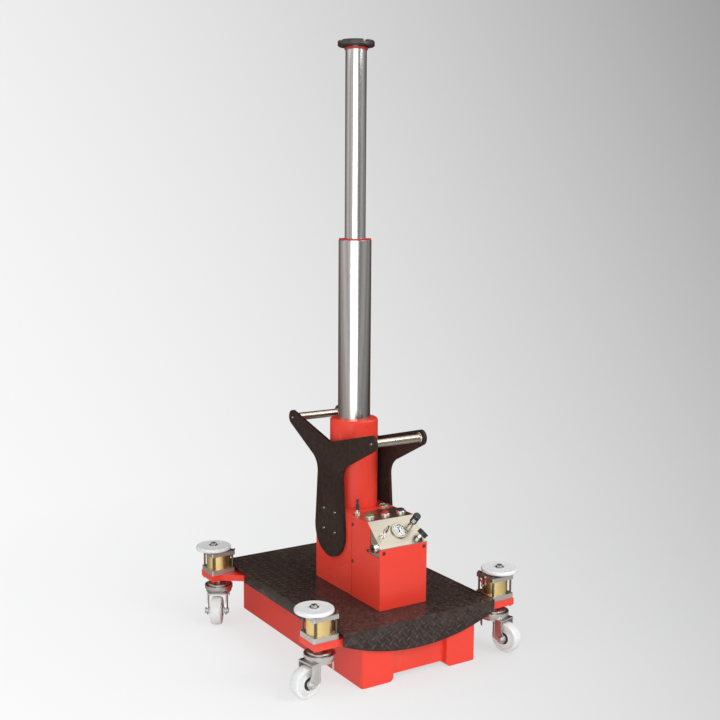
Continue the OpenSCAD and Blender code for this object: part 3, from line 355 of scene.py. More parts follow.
def makeFinish(name, f):
    # f holds one finish: its two tones, roughness, grain, brushing, edge wear with painted edge glint, and dust
    material = bpy.data.materials.new(name)
    material.use_nodes = True
    tree = material.node_tree
    shader = tree.nodes["Principled BSDF"]
    mottle = placeGroup(tree, mottleGroup, Broad_Scale=f.get("broad", 9.0), Grain_Scale=f.get("grain", 600.0))
    color = mixColor(tree, mottle.outputs["Broad"], f["tone"], f["tone2"])
    low, high = f["rough"]
    rough = rangeNode(tree, mottle.outputs["Broad"], 0, 1, low, high)
    height = mottle.outputs["Grain"]
    if "stretch" in f:
        brush = placeGroup(tree, brushGroup, Stretch=f["stretch"], Scale=f.get("brushScale", 900.0))
        color = mixColor(tree, brush.outputs["Bands"], color, f.get("band", f["tone2"]))
        rough = mathNode(tree, "ADD", rough, rangeNode(tree, brush.outputs["Lines"], 0.3, 0.7, -0.05, 0.07))
        height = brush.outputs["Lines"]
    shader.inputs["Metallic"].default_value = f.get("metal", 0.0)
    if "wearAndGlint" in f:
        wearAndGlint = placeGroup(tree, wearAndGlintGroup, Low=f.get("wearAndGlintLow", 0.52), High=f.get("wearAndGlintHigh", 0.6))
        color = mixColor(tree, wearAndGlint.outputs["WearAndGlint"], color, f["wearAndGlint"])
    if "dust" in f:
        dust = placeGroup(tree, dustGroup, Amount=f["dust"]).outputs["Dust"]
        color = mixColor(tree, dust, color, dustTone)
        rough = mathNode(tree, "ADD", rough, mathNode(tree, "MULTIPLY", dust, 0.35), True)
    tree.links.new(color, shader.inputs["Base Color"])
    tree.links.new(rough, shader.inputs["Roughness"])
    bump = tree.nodes.new("ShaderNodeBump")
    bump.inputs["Strength"].default_value = f.get("bump", 0.1)
    bump.inputs["Distance"].default_value = f.get("bumpDepth", 0.0004)
    tree.links.new(height, bump.inputs["Height"])
    tree.links.new(bump.outputs["Normal"], shader.inputs["Normal"])
    shader.inputs["Coat Weight"].default_value = f.get("coat", 0.0)
    shader.inputs["Coat Roughness"].default_value = f.get("coatRough", 0.05)
    shader.inputs["IOR"].default_value = f.get("ior", 1.5)
    shader.inputs["Specular IOR Level"].default_value = f.get("spec", 0.5)
    material.diffuse_color = (*f["tone"], 1.0)
    return material


finishes = {
    "redPaint": dict(tone=(0.80, 0.054, 0.031), tone2=(0.77, 0.049, 0.028), rough=(0.28, 0.34),
                     broad=4.0, grain=420.0, bump=0.0, spec=0.30, coat=0.12, coatRough=0.12,
                     wearAndGlint=(0.84, 0.14, 0.09), wearAndGlintLow=0.56, wearAndGlintHigh=0.66),
    "blackTread": dict(tone=(0.021, 0.0115, 0.009), tone2=(0.028, 0.016, 0.013), rough=(0.12, 0.20),
                       broad=11.0, grain=300.0, bump=0.03, spec=0.18, wearAndGlint=(0.10, 0.075, 0.065),
                       dust=0.015),
    # the tears' crowns: lighter worn tops, partly painted glint
    "treadCrownWearAndGlint": dict(tone=(0.027, 0.0165, 0.0135), tone2=(0.036, 0.023, 0.019), rough=(0.14, 0.24),
                       broad=30.0, grain=900.0, bump=0.04, spec=0.6, wearAndGlint=(0.16, 0.13, 0.11)),
    # the brackets' lighter edges are partly wear, partly painted edge glint
    "blackSatin": dict(tone=(0.023, 0.0135, 0.011), tone2=(0.032, 0.020, 0.016), rough=(0.30, 0.40),
                       broad=5.0, grain=500.0, bump=0.02, spec=0.06, wearAndGlint=(0.10, 0.068, 0.056)),
    "stainless": dict(tone=(0.52, 0.47, 0.39), tone2=(0.49, 0.44, 0.36), rough=(0.27, 0.36), metal=1.0,
                      stretch=(0.03, 1.0, 1.0), brushScale=700.0, band=(0.53, 0.48, 0.40), bump=0.05),
    "barSteel": dict(tone=(0.50, 0.43, 0.355), tone2=(0.42, 0.355, 0.29), rough=(0.22, 0.31), metal=1.0,
                     stretch=(1.0, 0.02, 0.02), brushScale=500.0, band=(0.54, 0.475, 0.40), bump=0.08),
    "hardChrome": dict(tone=(0.66, 0.645, 0.63), tone2=(0.60, 0.585, 0.57), rough=(0.13, 0.19),
                       metal=1.0, stretch=(1.0, 1.0, 0.02), brushScale=260.0, band=(0.69, 0.68, 0.67),
                       bump=0.02),
    "chrome": dict(tone=(0.86, 0.83, 0.78), tone2=(0.78, 0.75, 0.70), rough=(0.16, 0.24), metal=1.0,
                   broad=40.0, bump=0.03),
    "aluminium": dict(tone=(0.68, 0.64, 0.59), tone2=(0.60, 0.565, 0.52), rough=(0.36, 0.48), metal=1.0,
                      stretch=(0.06, 1.0, 1.0), brushScale=420.0, bump=0.10, wearAndGlint=(0.72, 0.71, 0.69)),
    "brass": dict(tone=(0.90, 0.68, 0.285), tone2=(0.80, 0.58, 0.225), rough=(0.24, 0.34), metal=1.0,
                  stretch=(0.08, 0.08, 1.0), brushScale=300.0, band=(0.88, 0.68, 0.32), bump=0.03),
    "zinc": dict(tone=(0.62, 0.60, 0.565), tone2=(0.53, 0.51, 0.48), rough=(0.28, 0.42), metal=1.0,
                 broad=24.0, grain=700.0, bump=0.08, wearAndGlint=(0.70, 0.70, 0.69)),
    "whiteNylon": dict(tone=(0.77, 0.775, 0.775), tone2=(0.71, 0.715, 0.71), rough=(0.36, 0.48),
                       broad=16.0, grain=900.0, bump=0.05, ior=1.46),
    "blackPlastic": dict(tone=(0.018, 0.018, 0.019), tone2=(0.028, 0.027, 0.027), rough=(0.36, 0.48),
                         broad=30.0, grain=1500.0, bump=0.12),
    "blackOxide": dict(tone=(0.060, 0.052, 0.048), tone2=(0.085, 0.074, 0.068), rough=(0.30, 0.45),
                       metal=0.7, broad=40.0, grain=900.0, bump=0.08, wearAndGlint=(0.22, 0.21, 0.20)),
    "rodSteel": dict(tone=(0.20, 0.155, 0.105), tone2=(0.15, 0.115, 0.08), rough=(0.28, 0.38),
                     metal=0.9, broad=40.0, grain=900.0, bump=0.04),
    "screwSteel": dict(tone=(0.38, 0.33, 0.29), tone2=(0.30, 0.26, 0.23), rough=(0.22, 0.32), metal=1.0,
                       broad=60.0, grain=1200.0, bump=0.03),
    # also the colour of the painted shadow strip at the cover's rear edge
    "screwBrownAndSeamShadow": dict(tone=(0.17, 0.060, 0.042), tone2=(0.13, 0.046, 0.034), rough=(0.26, 0.36),
                       metal=0.5, broad=60.0, grain=1200.0, bump=0.03),
    "capBrown": dict(tone=(0.040, 0.021, 0.018), tone2=(0.030, 0.017, 0.015), rough=(0.26, 0.34),
                     broad=50.0, grain=1500.0, bump=0.03, coat=0.2),
    "windowGrey": dict(tone=(0.52, 0.51, 0.53), tone2=(0.46, 0.455, 0.47), rough=(0.22, 0.30),
                       broad=50.0, grain=1500.0, bump=0.02, coat=0.3),
    "greenPlastic": dict(tone=(0.13, 0.175, 0.055), tone2=(0.11, 0.15, 0.045), rough=(0.26, 0.34),
                         broad=50.0, grain=1500.0, bump=0.03, coat=0.3),
    "redPlastic": dict(tone=(0.50, 0.022, 0.015), tone2=(0.43, 0.018, 0.013), rough=(0.24, 0.32),
                       broad=50.0, grain=1500.0, bump=0.03, coat=0.3),
    "redHose": dict(tone=(0.50, 0.020, 0.016), tone2=(0.42, 0.016, 0.014), rough=(0.32, 0.42),
                    broad=30.0, grain=1200.0, bump=0.05, coat=0.2),
    "castGrey": dict(tone=(0.16, 0.165, 0.17), tone2=(0.11, 0.115, 0.12), rough=(0.5, 0.65), broad=18.0,
                     grain=500.0, bump=0.35, bumpDepth=0.0008),
    "dialWhite": dict(tone=(0.84, 0.84, 0.82), tone2=(0.80, 0.80, 0.78), rough=(0.4, 0.5), broad=40.0,
                      bump=0.02),
    "dialInk": dict(tone=(0.012, 0.012, 0.014), tone2=(0.02, 0.02, 0.022), rough=(0.4, 0.5), broad=60.0,
                    bump=0.02),
}
looks = {name: makeFinish(name, finish) for name, finish in finishes.items()}


def makeGlass():
    material = bpy.data.materials.new("gaugeGlass")
    material.use_nodes = True
    shader = material.node_tree.nodes["Principled BSDF"]
    shader.inputs["Base Color"].default_value = (0.97, 0.98, 0.98, 1.0)
    shader.inputs["Transmission Weight"].default_value = 1.0
    shader.inputs["IOR"].default_value = 1.15
    mottle = placeGroup(material.node_tree, mottleGroup, Broad_Scale=60.0, Grain_Scale=800.0)
    rough = rangeNode(material.node_tree, mottle.outputs["Broad"], 0, 1, 0.0, 0.03)
    material.node_tree.links.new(rough, shader.inputs["Roughness"])
    return material


looks["glass"] = makeGlass()
print("finishes ready:", len(looks))


# Camera, floor and studio light

viewer = {"lens": 54.93, "yaw": 32.390, "pitch": 7.994, "roll": 0.381, "at": (-1.97693, -3.15790, 1.49660)}


def addCamera():
    bpy.ops.object.camera_add(location=viewer["at"])
    camera = bpy.context.active_object
    camera.name = "studioCamera"
    yaw, pitch, roll = (math.radians(viewer[key]) for key in ("yaw", "pitch", "roll"))
    ahead = Vector((math.sin(yaw) * math.cos(pitch), math.cos(yaw) * math.cos(pitch), -math.sin(pitch)))
    across = Vector((math.cos(yaw), -math.sin(yaw), 0))
    up = across.cross(ahead)
    right = across * math.cos(roll) + up * math.sin(roll)
    top = -across * math.sin(roll) + up * math.cos(roll)
    turn = Matrix((right, top, -ahead)).transposed().to_4x4()
    camera.matrix_world = Matrix.Translation(viewer["at"]) @ turn
    camera.data.lens = viewer["lens"]
    camera.data.sensor_width = 36.0
    camera.data.clip_end = 100
    scene.camera = camera


studio = {
    "floorSize": 70.0, "ambient": 0.55, "inGloss": 0.62,
    # painted shade: the backdrop's tone is a curve of the rise along one diagonal, paper white at the low left
    "diagonal": (0.8444, -0.5357, 0.55), "curve": (0.7235, -0.7333, -0.52), "tones": (0.30, 0.985),
    "ahead": (0.5357, 0.8444, 0.0), "across": (0.8444, -0.5357, 0.0),
    # what gloss sees, and how the floor glows: each range is low, high, share at low, share at high
    "behind": (0.30, 0.92, 1.0, 0.22), "toRight": (0.10, 0.75, 1.0, 2.0), "facing": (0.30, 0.75),
    "above": (0.03, 0.12, 0.0, 0.62), "streaks": (0.40, 0.60, 0.50, 1.25),
    "streakNoise": (3.4, 4.0, 0.7),  # scale, detail, roughness
    "warmGloss": (1.0, 0.72, 0.60), "warmShare": (0.05, 0.7),
    "nearFloor": (1.2, 4.5, 1.0, 0.0), "frontFloor": (-0.45, 0.30, 1.0, 0.25),
    "glowShare": (0.7, 2.2, 0.74, 1.0),
    "lamps": [  # place, aim, width, height, power
        ((-2.45, -3.40, 1.35), (0, 0, 1.35), 3.9, 2.7, 79),
        ((1.5, -3.1, 3.5), (0, -0.1, 0.4), 2.0, 2.0, 84),
        ((-3.0, 0.6, 3.3), (0, 0, 0.4), 1.8, 1.8, 18),
        ((1.9, -0.4, 3.4), (0, -0.2, 0.4), 2.2, 2.2, 19),
    ],
}


def vectorNode(tree, operation, first, second=None):
    node = tree.nodes.new("ShaderNodeVectorMath")
    node.operation = operation
    for socket, value in zip(node.inputs, (first, second)):
        if hasattr(value, "is_linked"):
            tree.links.new(value, socket)
        elif value is not None:
            socket.default_value = value
    return node.outputs["Value"] if operation in ("DOT_PRODUCT", "LENGTH") else node.outputs["Vector"]


def paintedBackdropShade(tree, look):
    # look is the unit direction from the viewer; the tone darkens along one diagonal as painted shade
    base, slope, bend = studio["curve"]
    rise = vectorNode(tree, "DOT_PRODUCT", look, studio["diagonal"])
    steep = mathNode(tree, "ADD", mathNode(tree, "MULTIPLY", rise, bend), slope)
    tone = mathNode(tree, "ADD", mathNode(tree, "MULTIPLY", rise, steep), base)
    darkest, palest = studio["tones"]
    return mathNode(tree, "MINIMUM", mathNode(tree, "MAXIMUM", tone, darkest), palest)


def glossLevel(tree, look):
    # what shines sees a dimmer backdrop: dark behind and above the object, lighter on the right, streaked
    around = vectorNode(tree, "NORMALIZE", vectorNode(tree, "MULTIPLY", look, (1, 1, 0)))
    ahead = vectorNode(tree, "DOT_PRODUCT", around, studio["ahead"])
    across = vectorNode(tree, "DOT_PRODUCT", around, studio["across"])
    streaks = rangeNode(tree, noiseNode(tree, around, *studio["streakNoise"]), *studio["streaks"])
    parts = tree.nodes.new("ShaderNodeSeparateXYZ")
    tree.links.new(look, parts.inputs[0])
    above = mathNode(tree, "MULTIPLY", rangeNode(tree, parts.outputs["Z"], *studio["above"]),
                     rangeNode(tree, ahead, *studio["facing"]))
    level = mathNode(tree, "SUBTRACT", 1.0, above)
    for share in (rangeNode(tree, ahead, *studio["behind"]), rangeNode(tree, across, *studio["toRight"]),
                  streaks, studio["inGloss"]):
        level = mathNode(tree, "MULTIPLY", level, share)
    return level


def plainlySeen(tree):
    # camera rays and rays through glass, and apart from them the rays that gloss sends out
    path = tree.nodes.new("ShaderNodeLightPath")
    seen = mathNode(tree, "MAXIMUM", path.outputs["Is Camera Ray"], path.outputs["Is Transmission Ray"])
    return seen, path.outputs["Is Glossy Ray"]


def litBackdrop(tree, look, level):
    # the backdrop's tone, in full for what is plainly seen and dimmed for gloss
    seen, gloss = plainlySeen(tree)
    share = mathNode(tree, "MAXIMUM", seen, mathNode(tree, "MULTIPLY", gloss, level))
    tint = mixColor(tree, rangeNode(tree, share, *studio["warmShare"]), studio["warmGloss"], (1.0, 1.0, 1.0))
    return vectorNode(tree, "MULTIPLY", tint, mathNode(tree, "MULTIPLY", paintedBackdropShade(tree, look), share))


def addFloor():
    deselect()
    bpy.ops.mesh.primitive_circle_add(vertices=128, radius=studio["floorSize"], fill_type="NGON",
                                      location=(0, 0, 0))
    floor = started("studioFloor")
    material = bpy.data.materials.new("studioFloor")
    material.use_nodes = True
    tree = material.node_tree
    shader = tree.nodes["Principled BSDF"]
    place = tree.nodes.new("ShaderNodeTexCoord").outputs["Object"]
    look = vectorNode(tree, "NORMALIZE", vectorNode(tree, "SUBTRACT", place, viewer["at"]))
    away = vectorNode(tree, "LENGTH", place)
    # the floor's colour carries the same painted shade, darker along the diagonal
    tree.links.new(paintedBackdropShade(tree, look), shader.inputs["Base Color"])
    shader.inputs["Roughness"].default_value = 0.9
    shader.inputs["Specular IOR Level"].default_value = 0.2
    glow = tree.nodes.new("ShaderNodeEmission")
    nearby = rangeNode(tree, away, *studio["nearFloor"])
    before = rangeNode(tree, vectorNode(tree, "DOT_PRODUCT", place, studio["ahead"]), *studio["frontFloor"])
    level = mathNode(tree, "MAXIMUM", glossLevel(tree, look), mathNode(tree, "MULTIPLY", nearby, before))
    tree.links.new(litBackdrop(tree, look, level), glow.inputs["Color"])
    blend = tree.nodes.new("ShaderNodeMixShader")
    seen, gloss = plainlySeen(tree)
    share = rangeNode(tree, away, *studio["glowShare"])
    tree.links.new(mathNode(tree, "MULTIPLY", mathNode(tree, "MAXIMUM", seen, gloss), share), blend.inputs[0])
    tree.links.new(shader.outputs[0], blend.inputs[1])
    tree.links.new(glow.outputs[0], blend.inputs[2])
    tree.links.new(blend.outputs[0], tree.nodes["Material Output"].inputs["Surface"])
    floor.data.materials.append(material)


def addLamps():
    for index, (place, aim, width, height, power) in enumerate(studio["lamps"]):
        bpy.ops.object.light_add(type="AREA", location=place)
        lamp = bpy.context.active_object
        lamp.name = "softbox%d" % index
        lamp.visible_camera = False
        lamp.data.shape = "RECTANGLE"
        lamp.data.size = width
        lamp.data.size_y = height
        lamp.data.energy = power
        lamp.rotation_euler = (Vector(aim) - Vector(place)).to_track_quat("-Z", "Y").to_euler()


def setWorld():
    world = bpy.data.worlds.new("studioWorld")
    scene.world = world
    world.use_nodes = True
    tree = world.node_tree
    backing = tree.nodes["Background"]
    backing.inputs["Color"].default_value = (0.97, 0.98, 1.0, 1)
    backing.inputs["Strength"].default_value = studio["ambient"]
    shown = tree.nodes.new("ShaderNodeBackground")
    look = tree.nodes.new("ShaderNodeTexCoord").outputs["Generated"]
    tree.links.new(litBackdrop(tree, look, glossLevel(tree, look)), shown.inputs["Color"])
    blend = tree.nodes.new("ShaderNodeMixShader")
    tree.links.new(mathNode(tree, "MAXIMUM", *plainlySeen(tree)), blend.inputs[0])
    tree.links.new(backing.outputs[0], blend.inputs[1])
    tree.links.new(shown.outputs[0], blend.inputs[2])
    tree.links.new(blend.outputs[0], tree.nodes["World Output"].inputs["Surface"])


scene.view_settings.view_transform = "Standard"
addCamera()
addFloor()
addLamps()
setWorld()
print("camera, floor and lamps ready")


# Plates and tubes that keep the CAD shape, with broken edges

softened = {
    "base_box": ("baseBox", "redPaint", 3.0), "corner_arms": ("cornerArms", "redPaint", 1.6),
    "deck_plate": ("deckPlate", "blackTread", 0.8), "rear_housing": ("rearHousing", "redPaint", 1.2),
    "front_cover": ("frontCover", "redPaint", 0.7), "control_box": ("controlBox", "stainless", 0.7),
    "mast_column": ("mastColumn", "redPaint", 1.5), "column_gland": ("columnGland", "redPaint", 0.6),
    "left_bracket": ("leftBracket", "blackSatin", 1.2), "right_bracket": ("rightBracket", "blackSatin", 1.2),
    "handle_bars": ("handleBars", "barSteel", 0.8), "cylinder_heads": ("cylinderHeads", "aluminium", 1.2),
    "brass_barrels": ("brassBarrels", "brass", 0.4), "tie_rods": ("tieRods", "rodSteel", 0.4),
    "lower_mast_tube": ("lowerMastTube", "hardChrome", 0.8), "upper_gland": ("upperGland", "redHose", 0.8),
    "upper_mast_rod": ("upperMastRod", "hardChrome", 0.8), "saddle": ("mastSaddle", "blackOxide", 0.8),
    "bracket_screws": ("bracketScrews", "screwSteel", 0.5), "cover_screws": ("coverScrews", "screwBrownAndSeamShadow", 0.4),
    "disc_bolts": ("discBolts", "zinc", 0.5), "button_rings": ("buttonRings", "chrome", 0.5),
    "valve_bodies": ("valveBodies", "chrome", 0.5), "gauge_cases": ("gaugeCases", "stainless", 0.4),
    "air_coupler": ("airCoupler", "chrome", 0.6), "lower_piston": ("lowerPiston", "castGrey", 1.0),
    "upper_piston": ("upperPiston", "castGrey", 1.0), "oil_tank": ("oilTank", "castGrey", 1.5),
    "air_pump": ("airPump", "castGrey", 1.2),
}
for nodeName, (pieceName, look, width) in softened.items():
    softCopy(nodeName, pieceName, looks[look], width)


def secondLook(piece, look, test):
    # faces that the test picks by their centre take a second material
    piece.data.materials.append(looks[look])
    for face in piece.data.polygons:
        if test(face.center):
            face.material_index = 1


boltHead = 6.4 * mm
couplerNose = -105.4 * mm
boltTop = max(vertex.co.z for vertex in scene.objects["discBolts"].data.vertices)
# faces below each nut's head take the dark blackOxide look, a dark ring round the nut
secondLook(scene.objects["discBolts"], "blackOxide", lambda center: center.z < boltTop - boltHead)
secondLook(scene.objects["airCoupler"], "capBrown", lambda center: center.x < couplerNose)
print("plates and tubes dressed:", len(softened))


# Raised tears of the tread plate

tread = {"across": 33.4, "along": 27.5, "length": 25.0, "width": 6.2, "height": 1.3, "lean": 45, "margin": 9,
         "deck": (591, 852), "deckTop": 196.4, "skirtLow": 97.3, "skirtEnd": 157.5,
         "skirtMiddle": 151.0, "housing": (99, -324, 101), "housingGap": 8, "bushAt": (280.0, 363.6),
         "bushGap": 16}


def tearField(name, lean, columns, rows, shift):
    # one tear: half a squashed ball, then an array each way
    deselect()
    bpy.ops.mesh.primitive_uv_sphere_add(segments=10, ring_count=6, radius=1)
    tear = started(name)
    deleteFaces(tear, lambda center: center.z < 0)
    bpy.ops.object.mode_set(mode="EDIT")
    bpy.ops.mesh.select_all(action="SELECT")
    size = (tread["length"] / 2, tread["width"] / 2, tread["height"])
    bpy.ops.transform.resize(value=size, center_override=(0, 0, 0))
    bpy.ops.object.mode_set(mode="OBJECT")
    turn = Matrix.Rotation(math.radians(lean), 4, "Z")
    start = Matrix.Translation((shift[0] - (columns - 1) / 2 * tread["across"],
                                shift[1] - (rows - 1) / 2 * tread["along"], 0))
    putInPlace(tear, start @ turn)
    corners = len(tear.data.vertices)
    for count, step in ((columns, (tread["across"], 0, 0)), (rows, (0, tread["along"], 0))):
        applyModifier(tear, "ARRAY", count=count, use_relative_offset=False, use_constant_offset=True,
                      constant_offset_displace=step)
    return tear, corners


def keepTears(field, corners, keep):
    # takes away the tears whose middle lies off the plate
    for part in (field.data.vertices, field.data.edges, field.data.polygons):
        part.foreach_set("select", [False] * len(part))
    points = field.data.vertices
    for first in range(0, len(points), corners):
        group = points[first:first + corners]
        middle = sum((point.co for point in group), Vector()) / corners
        if not keep(middle.x, middle.y):
            for point in group:
                point.select = True
    activate(field)
    bpy.ops.object.mode_set(mode="EDIT")
    bpy.ops.mesh.select_mode(type="VERT")
    bpy.ops.mesh.delete(type="VERT")
    bpy.ops.object.mode_set(mode="OBJECT")


def addTears(name, columns, rows, keep, place):
    fields = []
    half = (tread["across"] / 2, tread["along"] / 2)
    for lean, shift in ((tread["lean"], (0, 0)), (-tread["lean"], half)):
        field, corners = tearField(name, lean, columns, rows, shift)
        keepTears(field, corners, keep)
        fields.append(field)
    piece = joined(fields, name)
    putInPlace(piece, place @ Matrix.Scale(mm, 4))
    smooth(piece, 50, weighted=False)
    dress(piece, looks["treadCrownWearAndGlint"])
    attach(piece, "root")


def onDeck(x, y):
    wide, deep = tread["deck"]
    side, front, back = tread["housing"]
    gap = tread["housingGap"]
    inside = abs(x) < wide / 2 - tread["margin"] and abs(y) < deep / 2 - tread["margin"]
    bush = math.hypot(abs(x) - tread["bushAt"][0], abs(y) - tread["bushAt"][1]) < tread["bushGap"]
    return inside and not bush and not (abs(x) < side + gap and front - gap < y < back + gap)


def onSkirt(x, y):
    # y is the height above the floor here
    wide = tread["deck"][0]
    margin = tread["margin"]
    rise = tread["skirtEnd"] - tread["skirtLow"]
    radius = ((wide / 2) ** 2 + rise ** 2) / (2 * rise)
    low = tread["skirtLow"] + radius - math.sqrt(radius ** 2 - x ** 2)
    return abs(x) < wide / 2 - margin and low + margin < y < tread["deckTop"] - margin


addTears("deckTears", 20, 33, onDeck, Matrix.Translation((0, 0, tread["deckTop"] * mm)))
stand = Matrix.Rotation(math.radians(90), 4, "X")
for label, turn in (("front", 0), ("rear", 180)):
    place = Matrix.Rotation(math.radians(turn), 4, "Z") @ Matrix.Translation(
        (0, -tread["deck"][1] / 2 * mm, tread["skirtMiddle"] * mm)) @ stand
    addTears(label + "SkirtTears", 20, 6, lambda x, y: onSkirt(x, y + tread["skirtMiddle"]), place)
print("tread plate raised")


# Corner lifts: guide discs, bolts, hoses

corners = {"front_left": (-1, -1), "front_right": (1, -1), "rear_left": (-1, 1), "rear_right": (1, 1)}
lift = {"at": (345.3, 363.6), "headHalf": 45, "discOut": 19.2, "discLow": 265.7, "discThick": 13.9,
        "discRadius": 62.5, "bore": 6.05, "hose": 3.0, "hoseBend": 34.0, "port": 252.8, "tubeDrop": 27,
        "pipe": {"radius": 4.0, "out": 8.0, "bend": 6.0}}


def copied(piece, name, place):
    # the same form again, with its own mesh
    twin = piece.copy()
    twin.data = piece.data.copy()
    twin.name = name
    twin.data.name = name
    scene.collection.objects.link(twin)
    putInPlace(twin, place)
    return twin


def dropMaster(piece):
    deselect()
    piece.select_set(True)
    bpy.ops.object.delete()


def rounded(middleR, middleZ, radius, first, last, steps=6):
    # points of an arc in a lathe profile, angles in degrees
    return [(middleR + radius * math.cos(math.radians(first + (last - first) * i / steps)),
             middleZ + radius * math.sin(math.radians(first + (last - first) * i / steps)))
            for i in range(steps + 1)]


def addGuideDiscs():
    rim = lift["discRadius"]
    thick = lift["discThick"]
    bore = lift["bore"]
    profile = [(bore, 0), (19, 0), (20.5, 0.9), (50, 0.9), (53, 0)]
    profile += rounded(rim - 5.6, 5.6, 5.6, -80, 0) + rounded(rim - 6.6, thick - 6.6, 6.6, 0, 80)
    profile += [(52, thick), (49, thick - 1.1), (22, thick - 1.1), (19, thick - 0.2), (16.5, thick),
                (bore, thick), (bore, 0)]
    master = finished(turned("guideDisc", profile, 96, False), 40, "whiteNylon")
    for corner, (signX, signY) in corners.items():
        at = (signX * (lift["at"][0] + lift["discOut"]) * mm, signY * lift["at"][1] * mm, lift["discLow"] * mm)
        disc = copied(master, "guideDisc_" + corner, Matrix.Translation(at) @ Matrix.Scale(mm, 4))
        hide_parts("guide_disc_" + corner)
        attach(disc, "disc_" + corner)
    dropMaster(master)


def sweptTube(name, radius, start, moves, look, verts=16):
    # a ring drawn out along straight moves and bends in the XZ plane; start has its place and tilt
    deselect()
    bpy.ops.mesh.primitive_circle_add(vertices=verts, radius=radius, fill_type="NOTHING",
                                      rotation=(0, math.radians(start[3]), 0), location=start[:3])
    piece = started(name)
    bpy.ops.object.transform_apply(location=True, rotation=True, scale=True)
    bpy.ops.object.mode_set(mode="EDIT")
    bpy.ops.mesh.select_all(action="SELECT")
    for kind, value in moves:
        if kind == "straight":
            bpy.ops.mesh.extrude_edges_move(TRANSFORM_OT_translate={"value": value})
        else:
            center, turn, steps = value
            bpy.ops.mesh.spin(steps=steps, angle=math.radians(turn), center=center, axis=(0, 1, 0))
    bpy.ops.mesh.select_all(action="SELECT")
    bpy.ops.mesh.fill_holes(sides=0)
    bpy.ops.object.mode_set(mode="OBJECT")
    return finished(piece, 50, look, weighted=False)


def addHoses():
    faceX = lift["at"][0] - lift["headHalf"]
    port = lift["port"]
    pipe = lift["pipe"]
    dropX = faceX - pipe["out"]
    tubeTop = port - lift["tubeDrop"]
    elbow = sweptTube("airPipe", pipe["radius"], (faceX, 0, port, 90), [
        ("straight", (-(pipe["out"] - pipe["bend"]), 0, 0)),
        ("bend", ((dropX + pipe["bend"], 0, port - pipe["bend"]), -90, 8)),
        ("straight", (0, 0, -(port - pipe["bend"] - tubeTop - 0.4)))], "zinc")
    nut = turned("pipeNut", [(4.4, -0.05), (6.2, -0.05), (6.6, 0.5), (6.6, 2.6), (6.2, 3.1), (4.4, 3.1)], 6)
    putInPlace(nut, Matrix.Translation((faceX, 0, port)) @ Matrix.Rotation(math.radians(-90), 4, "Y"))
    sleeve = [(3.2, -1.9), (4.3, -1.5), (4.7, -0.9), (4.7, 4.0), (4.2, 4.6), (3.2, 4.6)]
    ferrule = turned("pipeFerrule", sleeve, 24)
    putInPlace(ferrule, Matrix.Translation((dropX, 0, tubeTop)))
    for ring in (nut, ferrule):
        finished(ring, 30, "zinc")
    fitting = joined([elbow, nut, ferrule], "airPipe")
    turn = math.degrees(math.asin((tubeTop - tread["deckTop"] - 3) / lift["hoseBend"]))
    tube = sweptTube("airTube", lift["hose"], (dropX, 0, tubeTop, 0), [
        ("bend", ((dropX - lift["hoseBend"], 0, tubeTop), turn, 14))], "redHose")
    footX = dropX - lift["hoseBend"] * (1 - math.cos(math.radians(turn)))
    grommet = turned("tubeGrommet", [(3.4, 0.05), (6.5, 0.05), (6.5, 3.4)] + rounded(4.7, 3.4, 1.8, 0, 80, 4) +
                     [(3.4, 5.3)], 32)
    finished(grommet, 30, "blackPlastic")
    putInPlace(grommet, Matrix.Translation((footX, 0, tread["deckTop"])))
    for corner, (signX, signY) in corners.items():
        place = Matrix.Translation((0, signY * lift["at"][1] * mm, 0)) @ \
            Matrix.Diagonal((signX, 1, 1, 1)) @ Matrix.Scale(mm, 4)
        for master, name in ((fitting, "airPipe_"), (tube, "airTube_"), (grommet, "tubeGrommet_")):
            piece = copied(master, name + corner, place)
            faceOut(piece, 0.000005)
            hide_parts("air_hoses")
            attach(piece, "root")
    for master in (fitting, tube, grommet):
        dropMaster(master)


addGuideDiscs()
addHoses()
print("corner lifts dressed")


# Castors

castor = {"trail": 54.0, "wheelRadius": 50.0, "width": 38.0, "webIn": 4.5, "hubHalf": 30.6,
          "turn": {"front_left": 188, "front_right": 285, "rear_left": 237, "rear_right": 48}}


def castorPlace(corner):
    signX, signY = corners[corner]
    return Matrix.Translation((signX * lift["at"][0] * mm, signY * lift["at"][1] * mm, 0)) @ \
        Matrix.Rotation(math.radians(castor["turn"][corner]), 4, "Z") @ Matrix.Scale(mm, 4)


